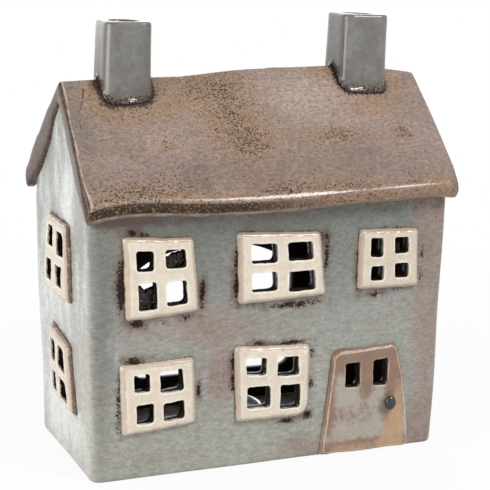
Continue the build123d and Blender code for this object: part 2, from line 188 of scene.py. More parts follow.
class Finish:
    """The node tree of one finish."""

    def __init__(self, name):
        self.material = bpy.data.materials.new(name)
        self.material.use_nodes = True
        self.tree = self.material.node_tree
        self.shader = self.tree.nodes["Principled BSDF"]
        self.place = self.node("ShaderNodeTexCoord", output="Object")

    def node(self, kind, settings=None, sockets=None, output=0):
        """Any node: its type, its settings, the values or links of its sockets, and the output that is used."""
        node = self.tree.nodes.new(kind)
        for key, value in (settings or {}).items():
            setattr(node, key, value)
        for key, value in (sockets or {}).items():
            self.feed(node.inputs[key], value)
        return Value(self, node.outputs[output])

    def feed(self, socket, value):
        """Links a value to a socket, or sets a number or a colour on it."""
        if isinstance(value, Value):
            self.tree.links.new(value.socket, socket)
        elif socket.type == "RGBA":
            socket.default_value = (*value[:3], 1.0)
        else:
            socket.default_value = value

    def set(self, **sockets):
        """Values of the finish's own shader; an underscore stands for a space."""
        for key, value in sockets.items():
            self.feed(self.shader.inputs[key.replace("_", " ")], value)

    def noise(self, size, detail=2.0, rough=0.5, stretch=None, shift=0.0):
        """Cloudy noise with clouds of a size in millimetres."""
        place = self.place
        if stretch or shift:
            sockets = {"Scale": stretch or (1, 1, 1), "Location": (shift, shift, shift)}
            place = self.node("ShaderNodeMapping", {}, {"Vector": place, **sockets})
        sockets = {"Vector": place, "Scale": 1 / (size * MM), "Detail": detail, "Roughness": rough}
        return self.node("ShaderNodeTexNoise", {}, sockets)

    def mark(self, name):
        """A value painted on the piece's points."""
        return self.node("ShaderNodeAttribute", {"attribute_name": name}, output="Fac")

    def mix(self, share, first, second, blend="MIX"):
        """Two colours mixed by a share."""
        settings = {"data_type": "RGBA", "blend_type": blend}
        return self.node("ShaderNodeMix", settings, {0: share, 6: first, 7: second}, output=2)

    def shade(self, base, amount, level):
        """A colour made lighter or darker by a level round one half."""
        grey = self.node("ShaderNodeCombineColor", {}, {0: level, 1: level, 2: level})
        return self.mix(amount, base, grey, "OVERLAY")

    def up(self):
        """Height over the base, in metres."""
        return self.node("ShaderNodeSeparateXYZ", {}, {0: self.place}, output=2)

    def bump(self, height, distance, strength=1.0):
        """Relief of a height field, its full height in millimetres."""
        sockets = {"Strength": strength, "Distance": distance * MM, "Height": height}
        return self.node("ShaderNodeBump", {}, sockets)


# Meshes

def smooth(value, low, high):
    """Soft step from 0 at low to 1 at high."""
    share = np.clip((value - low) / (high - low), 0.0, 1.0)
    return share * share * (3 - 2 * share)


def points_of(mesh):
    """A mesh's points in millimetres."""
    places = np.empty(len(mesh.vertices) * 3)
    mesh.vertices.foreach_get("co", places)
    return places.reshape(-1, 3) / MM


def set_points(mesh, points):
    mesh.vertices.foreach_set("co", (points * MM).ravel())
    mesh.update()


def edges_of(mesh):
    ends = np.empty(len(mesh.edges) * 2, np.int32)
    mesh.edges.foreach_get("vertices", ends)
    return ends.reshape(-1, 2)


def averaged(values, edges):
    """Mean of each point's neighbours."""
    size = len(values)
    first, second = edges.T
    count = np.bincount(edges.ravel(), minlength=size)
    sums = [np.bincount(first, column[second], size) + np.bincount(second, column[first], size)
            for column in values.T]
    return np.stack(sums, 1) / count[:, None]


def paint(mesh, **marks):
    """Puts named values on each point, for the finish to read."""
    for name, values in marks.items():
        layer = mesh.attributes.new(name, "FLOAT", "POINT")
        layer.data.foreach_set("value", np.asarray(values, np.float32))


def mesh_from(shape, name):
    """A plain mesh of a shape that is being edited, which is freed."""
    mesh = bpy.data.meshes.new(name)
    shape.to_mesh(mesh)
    shape.free()
    return mesh


def merged_copy(nodes):
    """One mesh of the copies of some solids, each closed by merging its doubles."""
    whole = bmesh.new()
    for name in nodes:
        single = bmesh.new()
        single.from_mesh(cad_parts[name].data)
        bmesh.ops.remove_doubles(single, verts=single.verts, dist=MM * MM)
        copy = mesh_from(single, "copy")
        whole.from_mesh(copy)
        bpy.data.meshes.remove(copy)
    return mesh_from(whole, "merged")


def evaluated(thing):
    """A plain mesh of an object with its modifiers, and the object removed."""
    bpy.context.view_layer.update()
    graph = bpy.context.evaluated_depsgraph_get()
    mesh = bpy.data.meshes.new_from_object(thing.evaluated_get(graph))
    old = thing.data
    bpy.data.objects.remove(thing)
    bpy.data.meshes.remove(old)
    return mesh


def linked(name, mesh):
    thing = bpy.data.objects.new(name, mesh)
    bpy.context.scene.collection.objects.link(thing)
    return thing


def softened(mesh, grain, steps):
    """Even, closed skin over a mesh, with every edge rounded as wet clay is."""
    thing = linked("skin", mesh)
    skin = thing.modifiers.new("skin", "REMESH")
    skin.mode = "VOXEL"
    skin.voxel_size = grain
    mesh = evaluated(thing)
    relax(mesh, steps)
    return mesh


def relax(mesh, steps, weight=1.0):
    """Rounds a mesh by moving its points towards their neighbours."""
    points, edges = points_of(mesh), edges_of(mesh)
    weight = np.broadcast_to(weight, len(points))[:, None]
    for _ in range(steps):
        points += 0.5 * weight * (averaged(points, edges) - points)
    set_points(mesh, points)


def ridges(mesh, grain, steps=3):
    """How far each point stands on an outer edge, from 0 to 1, with hollows below 0."""
    points, edges = points_of(mesh), edges_of(mesh)
    bend = ((points - averaged(points, edges)) * normals_of(mesh)).sum(1, keepdims=True)
    bend /= grain / MM
    for _ in range(steps):
        bend = 0.5 * (bend + averaged(bend, edges))
    return np.clip(bend[:, 0] / 0.08, -1.0, 1.0)


def cloudy(points, size, shift=0.0):
    """Cloudy noise on points, from about -1 to 1, with clouds of a size in millimetres."""
    return np.array([noise.noise(place) for place in (points / size + shift).tolist()])


def normals_of(mesh):
    normals = np.empty(len(mesh.vertices) * 3, np.float32)
    mesh.vertex_normals.foreach_get("vector", normals)
    return normals.reshape(-1, 3)


def outline(node, axes, squash=(1.0, 1.0)):
    """Convex outline of a solid in two axes."""
    flat = points_of(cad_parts[node].data)[:, axes] * squash
    ring = geometry.convex_hull_2d([Vector(point) for point in flat])
    return flat[ring]


def gap_to(places, ring):
    """Distance of flat places from a convex outline, below 0 inside it."""
    nearest = np.full(len(places), np.inf)
    left = np.ones(len(places), bool)
    right = np.ones(len(places), bool)
    for start, end in zip(ring, np.roll(ring, -1, 0)):
        side, offset = end - start, places - start
        share = np.clip(offset @ side / max(side @ side, 1e-9), 0.0, 1.0)
        nearest = np.minimum(nearest, np.linalg.norm(offset - share[:, None] * side, axis=1))
        turn = side[0] * offset[:, 1] - side[1] * offset[:, 0]
        left &= turn >= 0
        right &= turn <= 0
    return np.where(left | right, -nearest, nearest)


def patches(across, along, spots):
    """Sum of soft round patches: each has a place, two radii and a strength."""
    total = np.zeros(len(across))
    for x, v, wide, tall, strength in spots:
        total += strength * np.exp(-((across - x) / wide) ** 2 - ((along - v) / tall) ** 2)
    return np.clip(total, 0.0, 1.0)


# Height that the ridge stands above or below a straight line, along the house
RIDGE_BOW = ((-95, -1.0), (-60, -0.7), (-30, -0.4), (-8, 1.0), (13, 1.6), (45, 1.8), (68, 0.5), (80, -0.6), (94, -2.4))
# How far the left rear corner leans out under the eave, and how far the front eave's nose rolls over
LEFT_TWIST = 1.7
NOSE_REACH = 3.4


def hand_made(points):
    """Moves points as soft clay gives: one field for all pieces, so that what touches stays together."""
    x, y, z = points.T
    wave = clay().hand_wave / MM
    free = smooth(z, 0.0, 25.0)
    moved = points.copy()
    moved[:, 0] += 0.5 * wave * np.sin(z / 12 + y / 15 + 2.0)
    rise = smooth(z, 0.0, 110.0) * (1 - smooth(z, 118.0, 140.0))
    moved[:, 0] -= LEFT_TWIST * smooth(-x, 30.0, 90.0) * smooth(y, -30.0, FACE) * rise
    moved[:, 1] += wave * (np.sin(x / 25 + 1.3) * np.sin(z / 33 + 0.7) + 0.5 * np.sin(x / 11 + z / 14))
    moved[:, 2] += free * wave * (0.6 * np.sin(x / 21 + 0.5) + 0.4 * np.sin(x / 9 + y / 13 + 2.0))
    places, heights = zip(*RIDGE_BOW)
    top = smooth(z, 140.0, 186.0) * (1 - smooth(z, 190.0, 206.0))
    moved[:, 2] += np.interp(x, places, heights) * top
    return moved


def cut_piece(mesh, planes):
    """The part of a mesh behind some planes, with its cuts closed and their rims kept sharp."""
    shape = bmesh.new()
    shape.from_mesh(mesh)
    for point, normal in planes:
        everything = shape.verts[:] + shape.edges[:] + shape.faces[:]
        bmesh.ops.bisect_plane(shape, geom=everything, dist=1e-7, plane_co=Vector(point) * MM,
                               plane_no=Vector(normal), clear_outer=True)
        rim = [edge for edge in shape.edges if edge.is_boundary]
        caps = bmesh.ops.holes_fill(shape, edges=rim)["faces"]
        for edge in rim:
            edge.smooth = False
        bmesh.ops.triangulate(shape, faces=caps)
    return mesh_from(shape, "piece")


def placed(name, mesh, finish, body, slot, *nodes):
    """Makes a finished mesh a piece of the object."""
    mesh.materials.clear()
    mesh.materials.append(finish.material)
    mesh.polygons.foreach_set("use_smooth", np.ones(len(mesh.polygons), bool))
    thing = linked(name, mesh)
    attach(thing, body)
    if nodes:
        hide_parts(*nodes)
    return thing


# Finishes

def wall_finish():
    """Cool grey glaze that turns brown where it is thin, and dark beside the tiles and inside, with painted light and
    shade by height, painted sheen on the gables and painted shadow under the eave.
    """
    finish, colours = Finish("wall_glaze"), glazes()
    cloud = finish.noise(18, 3)
    run = finish.noise(5, 3, stretch=(1, 1, 0.25))
    mottle = finish.noise(5, 4, 0.6)
    brush = finish.noise(1.5, 3, 0.65, stretch=(0.4, 0.4, 1))
    grain = finish.noise(0.8, 2, 0.6)
    crumb = finish.noise(1.5, 4, 0.65)
    grit = finish.noise(1.3, 4, 0.7, shift=4.0)
    thin, stain = finish.mark("blush"), finish.mark("stain")
    base = finish.mix(cloud.rise(0.42, 0.6), colours.wall_grey, colours.wall_green)
    # Painted light and shade by height: lighter near the base as painted floor bounce, darker high up as painted shade
    # under the eave
    base = finish.mix(finish.up().fall(0.01, 0.085) * 0.75, base, rgb(162, 162, 152))
    base = finish.mix(finish.up().rise(0.07, 0.115) * 0.8, base, rgb(119, 122, 116))
    # Darker patches on the front wall
    base = finish.mix(finish.mark("deep") * 0.8, base, rgb(112, 113, 109))
    # Painted sheen on the gables: pale streaks standing in for lit, glossy glaze, with a pinkish tone between the
    # streaks
    flow = finish.noise(14, 4, 0.6, stretch=(1, 1, 0.4), shift=2.0)
    base = finish.mix((finish.mark("gable") + (flow - 0.5) * 2.4).rise(0.1, 1.3) * 0.9, base, rgb(198, 200, 198))
    base = finish.mix(finish.mark("gable") * flow.fall(0.38, 0.48) * 0.4, base, rgb(178, 162, 156))
    blush = (thin * 1.4 + mottle * 0.7 + crumb * 0.5 - 0.8).rise(0.0, 0.9)
    base = finish.mix(blush * 0.85, base, colours.blush)
    base = finish.mix((crumb + thin * 0.2).rise(0.74, 0.84) * 0.55, base, colours.rust)
    base = finish.shade(base, 1.0, grain * 0.35 + brush * 0.45 + run * 0.1 + mottle * 0.1)
    # Brown halo round the stains, with the painted shadow under the eave in the same mark
    halo = (finish.mark("halo") * 1.2 + (mottle - 0.5) * 1.2 + (crumb - 0.5) * 1.0).rise(0.25, 1.0)
    base = finish.mix(halo * 0.8, base, rgb(108, 84, 74))
    dark = (stain + (grit - 0.5) * 3.4).rise(0.42, 0.55)
    base = finish.mix(dark, base, finish.mix(grain.rise(0.48, 0.7), colours.stain, rgb(88, 54, 36)))
    base = finish.mix(finish.mark("inside"), base, finish.mix(mottle, colours.soot, rgb(58, 47, 40)))
    finish.set(Base_Color=base, Roughness=0.16 + mottle * 0.14 - dark * 0.06, Specular_IOR_Level=0.2)
    relief = mottle * 0.5 + run * 0.3 + grain * 0.1 + brush * 0.15 + crumb * dark * 2.0
    finish.set(Normal=finish.bump(relief, 0.35, 0.5))
    return finish


def crumb_finish(name):
    """Small clots of dark glaze, some of them rusty."""
    finish, colours = Finish(name), glazes()
    tone = finish.mark("tone")
    base = finish.mix(tone.rise(0.7, 1.0), colours.stain, rgb(92, 58, 40))
    base = finish.mix(finish.noise(0.4, 2).rise(0.4, 0.7) * 0.5, base, rgb(18, 11, 8))
    finish.set(Base_Color=base, Roughness=0.14 + tone * 0.15, Specular_IOR_Level=0.35)
    return finish


def roof_finish():
    """Mauve brown glaze with warm patches and specks, and a dark nose with golden flecks."""
    finish, colours = Finish("roof_glaze"), glazes()
    cloud = finish.noise(24, 3)
    ripple = finish.noise(1.3, 3, 0.65, stretch=(0.6, 1, 1))
    mottle = finish.noise(4.5, 4, 0.6)
    fleck = finish.noise(0.9, 2, 0.6, shift=3.0)
    glint = finish.noise(0.9, 2, 0.6, shift=9.0)
    nose = finish.mark("nose")
    base = finish.mix(cloud.rise(0.4, 0.62), colours.mauve, rgb(136, 118, 107))
    # Painted sheen: pale patches on the front roof
    base = finish.mix(finish.mark("pale") * 0.7, base, rgb(168, 150, 138))
    base = finish.mix(finish.mark("grey") * (0.5 + mottle * 0.6), base, rgb(118, 108, 101))
    base = finish.mix(finish.mark("dull") * 0.6, base, rgb(118, 100, 90))
    warm = (finish.mark("ochre") * 1.25 + mottle * 0.8 - 0.55).rise(0.0, 0.75)
    base = finish.mix(warm * 0.55, base, colours.ochre)
    base = finish.mix((nose + (mottle - 0.5) * 0.6).rise(0.2, 0.8), base, rgb(40, 20, 8))
    base = finish.mix(finish.mark("end"), base, finish.mix(fleck.rise(0.42, 0.6), rgb(30, 16, 9), rgb(94, 66, 48)))
    base = finish.shade(base, 1.0, (ripple - 0.5) * 0.8 + mottle * 0.3 + 0.35)
    crowd = finish.mark("speck") + (mottle - 0.5) * 1.1
    golden = (glint + finish.mark("golden") * (mottle - 0.1) * 0.2 + crowd * 0.03).rise(0.64, 0.7)
    base = finish.mix(golden * 0.75, base, rgb(142, 106, 66))
    specks = (fleck + (crowd - 0.15) * 0.15).rise(0.63, 0.67)
    base = finish.mix(specks * 0.95, base, colours.speck)
    # Pale worn line along the verges' upper edges, with a painted highlight on it
    base = finish.mix((finish.mark("edge") + (mottle - 0.5) * 0.8).rise(0.4, 0.9) * 0.6, base, rgb(206, 184, 163))
    pooled = (finish.mark("dark") + (mottle - 0.5) * 0.5 + (fleck - 0.5) * 0.9).rise(0.35, 0.62)
    base = finish.mix(pooled * 0.9, base, rgb(40, 27, 19))
    lip = (finish.mark("lip") + (mottle - 0.5) * 0.7).rise(0.3, 0.7)
    base = finish.mix(lip * 0.9, base, finish.mix(mottle.rise(0.4, 0.6), rgb(150, 138, 131), rgb(118, 101, 93)))
    finish.set(Base_Color=base, Roughness=0.08 + mottle * 0.1, Specular_IOR_Level=0.35)
    relief = (mottle * 0.5 + ripple * 0.22 + specks * 0.2 - golden * 0.1) * (1 - finish.mark("bead") * 0.6)
    finish.set(Normal=finish.bump(relief, 0.35, 0.5))
    return finish


def chimney_finish():
    """Darker grey glaze, with brown edges, a dark pool at the foot and painted shade on its left sides."""
    finish, colours = Finish("chimney_glaze"), glazes()
    cloud = finish.noise(9, 3)
    grain = finish.noise(0.8, 2, 0.6)
    mottle = finish.noise(3.5, 4, 0.6)
    fleck = finish.noise(1.1, 3, 0.6)
    foot = finish.mark("foot")
    base = finish.mix(cloud.rise(0.4, 0.62), colours.chimney, rgb(116, 116, 111))
    thin = finish.mark("edge").rise(0.1, 0.9) * 0.55 + (foot + mottle * 12).fall(4.0, 20.0) * 0.8
    base = finish.mix(thin, base, rgb(94, 79, 72))
    # Painted shade on the chimneys' left-facing sides
    base = finish.mix(finish.mark("leftward") * 0.45, base, rgb(76, 70, 66))
    base = finish.shade(base, 0.55, grain * 0.5 + mottle * 0.5)
    pooled = (foot + (0.5 - fleck) * 15 + (0.5 - mottle) * 8).fall(1.0, 2.6)
    base = finish.mix(pooled * 0.96, base, finish.mix(grain.rise(0.5, 0.7), rgb(28, 18, 12), rgb(72, 48, 32)))
    base = finish.mix(finish.mark("inside"), base, finish.mix(mottle, rgb(104, 66, 54), rgb(70, 46, 38)))
    finish.set(Base_Color=base, Roughness=0.14 + mottle * 0.12 - pooled * 0.08)
    finish.set(Normal=finish.bump(mottle * 0.5 + grain * 0.12, 0.3, 0.5))
    return finish


def window_finish():
    """Cream glaze, with a painted highlight on the lips of its panes, tan along its bevel and dark in the panes."""
    finish, colours = Finish("window_glaze"), glazes()
    grain = finish.noise(1.0, 2, 0.6)
    mottle = finish.noise(6, 4, 0.6)
    blot = finish.noise(2.5, 4, 0.65)
    base = finish.mix(mottle.rise(0.35, 0.7) * 0.6, colours.cream, rgb(206, 190, 170))
    across = finish.node("ShaderNodeSeparateXYZ", {}, {0: finish.place}, output=0)
    base = finish.mix(across.rise(0.03, 0.06) * 0.6, base, rgb(194, 180, 162))
    base = finish.mix(across.fall(-0.09, -0.085) * 0.8, base, rgb(184, 172, 158))
    base = finish.shade(base, 0.4, grain * 0.4 + blot * 0.6)
    rim = (finish.mark("rim") + (blot - 0.5) * 1.6).rise(0.4, 1.0)
    base = finish.mix(rim * 0.65, base, rgb(172, 150, 131))
    # Painted highlight: near white on the raised lips of the panes
    base = finish.mix((finish.mark("lip") + (blot - 0.5) * 0.8).rise(0.2, 0.8) * 0.6, base, rgb(240, 233, 221))
    skirt = (finish.mark("skirt") + (blot - 0.5) * 1.8 + (grain - 0.5) * 0.8).rise(0.4, 0.9)
    base = finish.mix(skirt * 0.85, base, rgb(84, 62, 50))
    reveal = (finish.mark("reveal") + (blot - 0.5) * 1.6 + (grain - 0.5) * 1.2).rise(0.35, 0.65)
    base = finish.mix(reveal, base, finish.mix(grain.rise(0.5, 0.7), colours.stain, rgb(70, 48, 37)))
    finish.set(Base_Color=base, Roughness=0.13 + mottle * 0.1)
    finish.set(Normal=finish.bump(mottle * 0.6 + grain * 0.1 + blot * 0.2 + reveal * grain, 0.3, 0.5))
    return finish


def door_finish():
    """Grey glaze with a brown wash over the border and a pale line on the edges."""
    finish, colours = Finish("door_glaze"), glazes()
    grain = finish.noise(0.8, 2, 0.6)
    mottle = finish.noise(6, 4, 0.6)
    streak = finish.noise(2.2, 3, 0.6, stretch=(1, 1, 0.18))
    blot = finish.noise(2.5, 4, 0.65)
    wash = (finish.mark("wash") * 1.3 + mottle * 1.1 + blot * 1.1 + streak * 0.4 - 1.45).rise(0.0, 0.6)
    base = finish.mix(wash * 0.85, colours.door_grey, colours.door_brown)
    honey = (finish.mark("honey") + streak * 0.7 + blot * 0.6 - 0.8).rise(0.05, 0.6)
    base = finish.mix(honey * 0.75, base, colours.honey)
    base = finish.shade(base, 0.4, grain * 0.5 + mottle * 0.5)
    pale = (finish.mark("edge") + finish.mark("lip") + (streak - 0.5) * 0.5).rise(0.55, 0.95)
    base = finish.mix(pale * 0.75, base, rgb(214, 192, 166))
    base = finish.mix(finish.mark("skirt").rise(0.5, 0.9) * 0.8, base, rgb(104, 72, 52))
    base = finish.mix(finish.mark("reveal").rise(0.3, 0.7), base, colours.stain)
    finish.set(Base_Color=base, Roughness=0.15 + mottle * 0.14)
    finish.set(Normal=finish.bump(mottle * 0.6 + grain * 0.12, 0.3, 0.5))
    return finish


def knob_finish():
    """Glossy charcoal glaze."""
    finish = Finish("knob_glaze")
    mottle = finish.noise(1.4, 3)
    finish.set(Base_Color=finish.mix(mottle, glazes().knob, rgb(58, 56, 55)), Roughness=0.1 + mottle * 0.1)
    finish.set(Normal=finish.bump(mottle, 0.1, 0.4))
    return finish


def floor_finish():
    """Bare clay under a thin wash of glaze."""
    finish = Finish("floor_clay")
    mottle, grain = finish.noise(7, 4, 0.6), finish.noise(0.8, 2)
    base = finish.mix(mottle.rise(0.3, 0.7), glazes().floor, rgb(104, 92, 82))
    finish.set(Base_Color=finish.shade(base, 0.5, grain), Roughness=0.35 + mottle * 0.3)
    finish.set(Normal=finish.bump(mottle + grain * 0.3, 0.4, 0.5))
    return finish


def metal_finish(name, level):
    """Thin drawn metal with faint rubbing marks."""
    finish = Finish(name)
    rub = finish.noise(1.2, 3, stretch=(1, 1, 6))
    finish.set(Base_Color=finish.mix(rub, [part * level for part in glazes().metal], glazes().metal))
    finish.set(Metallic=1.0, Roughness=0.24 + rub * 0.18, Normal=finish.bump(rub, 0.05, 0.4))
    return finish


def wax_finish():
    """Soft white wax."""
    finish = Finish("wax")
    mottle = finish.noise(5, 3)
    finish.set(Base_Color=finish.mix(mottle, glazes().wax, rgb(228, 220, 204)), Roughness=0.42 + mottle * 0.2)
    finish.set(Normal=finish.bump(mottle, 0.2, 0.4))
    finish.set(Subsurface_Weight=0.25, Subsurface_Radius=(0.004, 0.003, 0.002))
    return finish


def wick_finish():
    """Waxed cotton wick."""
    finish = Finish("wick_cotton")
    thread = finish.noise(0.5, 3, stretch=(1, 1, 0.3))
    finish.set(Base_Color=finish.mix(thread, rgb(226, 220, 206), rgb(190, 182, 166)), Roughness=0.6 + thread * 0.3)
    finish.set(Normal=finish.bump(thread, 0.15, 0.6))
    return finish


# Marks painted on the clay

def wall_depth(points):
    """Depth of points behind the nearest outer wall face."""
    x, y, z = points.T
    faces = (y + FACE, FACE - y, x + SIDE + z * LEFT_LEAN, SIDE + z * RIGHT_LEAN - x)
    return np.min(faces, axis=0)


# Where the wall glaze is thin on the front: place across and up, two radii and a strength
BLUSH = (
    (-86, 40, 7, 30, 0.3), (-28, 46, 9, 16, 0.9), (86, 70, 13, 60, 0.8), (87, 7, 13, 16, 1.0), (-5, 73, 55, 8, 0.4),
    (-60, 10, 30, 8, 0.4), (18, 6, 22, 9, 0.7), (-38, 76, 14, 16, 0.4), (86, 122, 14, 14, 0.6), (-82, 118, 8, 14, 0.4),
    (-70, 75, 16, 8, 0.4), (-20, 66, 30, 6, 0.3))
# Where a gable is painted pale as painted sheen of lit, glossy glaze: place along and up, two radii and a strength
GABLE_SHEEN = ((-10, 128, 18, 24, 1.0), (6, 80, 26, 18, 1.0), (6, 20, 30, 22, 1.0), (24, 60, 14, 60, 0.6))
# Where the front wall is painted darker
DARK_PATCHES = (
    (-87, 74, 7, 34, 0.9), (-89, 30, 5, 30, 0.5), (-29, 98, 8, 14, 0.4), (34, 96, 8, 16, 0.3), (-86, 112, 8, 10, 0.5))
# Clots of dark glaze beside the front tiles: place across and up, two radii and a strength
CLOTS = (
    (-78, 94, 2.4, 11.8, 1.0), (-73, 119, 1.9, 1.4, 0.9), (-67, 118, 3.1, 1.2, 0.6), (-38, 89, 1.3, 7.3, 0.95),
    (-70, 76, 3.2, 1.9, 0.9), (-46, 77, 3.0, 1.5, 0.6), (-59, 76, 4.9, 1.4, 0.3), (-21, 104, 2.0, 8.5, 0.6),
    (-20, 90, 2.1, 6.1, 1.0), (26, 102, 1.3, 9.7, 0.7), (10, 79, 14.4, 1.8, 0.7), (24, 112, 1.6, 2.0, 0.7),
    (-12, 81, 6.5, 1.2, 0.3), (43, 102, 1.4, 5.5, 0.6), (44, 91, 1.4, 6.3, 0.9), (79, 100, 1.2, 4.4, 0.5),
    (79, 89, 1.2, 2.3, 0.5), (53, 81, 4.5, 1.3, 0.6), (68, 83, 8.5, 1.3, 0.4), (61, 114, 16.5, 1.2, 0.3),
    (-71, 58, 3.7, 1.9, 0.9), (-39, 41, 1.3, 5.0, 0.7), (-79, 36, 1.2, 13.7, 0.6), (-57, 59, 6.2, 1.2, 0.35),
    (-21, 53, 1.6, 5.0, 0.9), (-21, 42, 1.2, 4.0, 0.7), (-8, 61, 4.2, 1.2, 0.7), (9, 60, 8.6, 1.2, 0.75),
    (20, 53, 1.4, 2.3, 0.6), (20, 38, 1.4, 2.6, 0.6), (19, 22, 2.2, 2.3, 0.8), (8, 20, 3.8, 1.3, 0.9))
HALOS = [(x, z, 1.6 * wide + 1.5, 1.3 * tall + 1.5, 0.9 * strength) for x, z, wide, tall, strength in CLOTS]
# How far dark glaze spreads beside a tile on the front and on a gable
SPREADS = {"front": 0.6, "gable": 1.8}


def wall_marks(mesh):
    """Paints where the wall glaze is thin, where it gathers and where it is inside, with painted shadow under the eave,
    painted sheen on the gables and darker patches on the front.
    """
    points = points_of(mesh)
    x, y, z = points.T
    depth = wall_depth(points)
    stain = np.full(len(points), -2.0)
    halo = np.zeros(len(points))
    hole = np.full(len(points), -9.0)
    sides = (
        (y + FACE, (0, 2), FRONT_WINDOWS, "front"),
        (x + SIDE + z * LEFT_LEAN, (1, 2), LEFT_WINDOWS, "gable"),
        (SIDE + z * RIGHT_LEAN - x, (1, 2), RIGHT_WINDOWS, "gable"),
    )
    for behind, axes, windows, side in sides:
        skin = behind < WALL
        places = points[skin][:, axes]
        for window in windows:
            gap = gap_to(places, outline(window, axes))
            reach = SPREADS[side] * (1 + 0.7 * cloudy(points[skin], 9.0))
            edge = np.where(gap > -1.5, 0.9 - gap / reach, np.where(behind[skin] < 0.8, -2.0, 0.3))
            stain[skin] = np.maximum(stain[skin], edge)
            halo[skin] = np.maximum(halo[skin], np.exp(-np.maximum(gap, 0.0) / (0.5 + reach)))
            hole[skin] = np.maximum(hole[skin], -gap)
    skin = y + FACE < WALL
    stain[skin] = np.maximum(stain[skin], 1.75 * patches(x[skin], z[skin], CLOTS) - 0.3)
    halo[skin] = np.maximum(halo[skin], patches(x[skin], z[skin], HALOS))
    door = gap_to(points[skin][:, (0, 2)], outline("front_door", (0, 2)))
    halo[skin] = np.maximum(halo[skin], 0.8 * np.exp(-np.maximum(door, 0.0) / 0.7))
    hole[skin] = np.maximum(hole[skin], -door)
    close = stain > -1.0
    stain[close] += 0.35 * cloudy(points[close], 2.4, 5.0)
    front = smooth(-y, FACE - 3.0, FACE - 0.5)
    corner = 0.4 * np.exp(-z / 12)
    # Painted shadow on the front wall just under the eave, stronger to the left
    eave_shadow = smooth(z, 119.0, 123.5) * front * (0.45 + 0.35 * smooth(-x, 20.0, 90.0))
    aside = smooth(np.abs(x) - z * LEFT_LEAN, SIDE - 1.5, SIDE - 0.3)
    paint(mesh,
          stain=stain,
          # Darker patches on the front wall
          deep=patches(x, z, DARK_PATCHES) * front,
          # Painted sheen on both gables, strongest in the given patches
          gable=aside * (0.35 + 0.65 * patches(y, z, GABLE_SHEEN)),
          # Brown halos round the stains, and the painted shadow under the eave
          halo=np.maximum(halo, eave_shadow),
          blush=np.clip(patches(x, z, BLUSH) * front + (1 - front) * (0.1 + corner), 0.0, 1.0),
          inside=np.maximum(smooth(depth, 1.4, 3.4), smooth(hole, 0.8, 2.6)))


# Patches of the front roof: place across and down the slope, two radii and a strength
OCHRE = (
    (-66, 15, 26, 16, 0.8), (-27, 10, 26, 12, 0.75), (-17, 30, 15, 22, 0.95), (-8, 44, 12, 9, 0.9), (38, 5, 12, 5, 0.4),
    (61, 28, 17, 5, 0.85), (34, 43, 22, 5, 0.7), (72, 42, 9, 6, 0.6), (-52, 43, 5, 4, 0.7), (-70, 68, 30, 7, 0.7),
    (20, 68, 40, 6, 0.55), (84, 74, 12, 8, 0.7), (75, 12, 14, 8, 0.5))
SPECKS = (
    (-16, 27, 15, 24, 0.9), (-8, 45, 10, 8, 0.8), (-27, 9, 24, 8, 0.5), (37, 43, 15, 5, 0.95), (72, 43, 6, 5, 1.0),
    (-52, 43, 4, 4, 0.8), (-72, 66, 26, 6, 0.9), (2, 68, 16, 5, 0.9), (34, 69, 15, 4, 0.8), (70, 66, 9, 6, 0.5),
    (-64, 24, 18, 7, 0.4), (-48, 58, 20, 8, 0.35))
# Pale patches of painted sheen on the front roof: place across and down the slope, two radii and a strength
ROOF_SHEEN = ((26, 20, 22, 12, 0.9), (12, 56, 30, 6, 0.3), (48, 36, 20, 4, 0.4), (-45, 28, 14, 8, 0.3))
DULL = ((45, 62, 60, 14, 0.9), (-40, 64, 50, 9, 0.5), (-20, 56, 60, 8, 0.4))
# Patches of the rear roof, in the same way
REAR_OCHRE = (
    (50, 20, 30, 20, 0.8), (-30, 40, 28, 14, 0.8), (-62, 14, 24, 15, 0.7), (10, 64, 60, 7, 0.7), (60, 62, 24, 8, 0.6))
REAR_SPECKS = ((40, 24, 24, 18, 0.8), (-30, 42, 18, 10, 0.9), (10, 67, 60, 6, 0.8), (-70, 60, 14, 8, 0.6))
# Crack near the roof's left end: places across and down the slope
CRACK = ((-84.5, 7), (-86, 13), (-90.5, 23), (-91, 33))


def gap_to_line(places, line):
    """Distance of flat places from a line of points."""
    nearest = np.full(len(places), np.inf)
    for start, end in zip(np.array(line, float), np.array(line[1:], float)):
        side, offset = end - start, places - start
        share = np.clip(offset @ side / (side @ side), 0.0, 1.0)
        nearest = np.minimum(nearest, np.linalg.norm(offset - share[:, None] * side, axis=1))
    return nearest


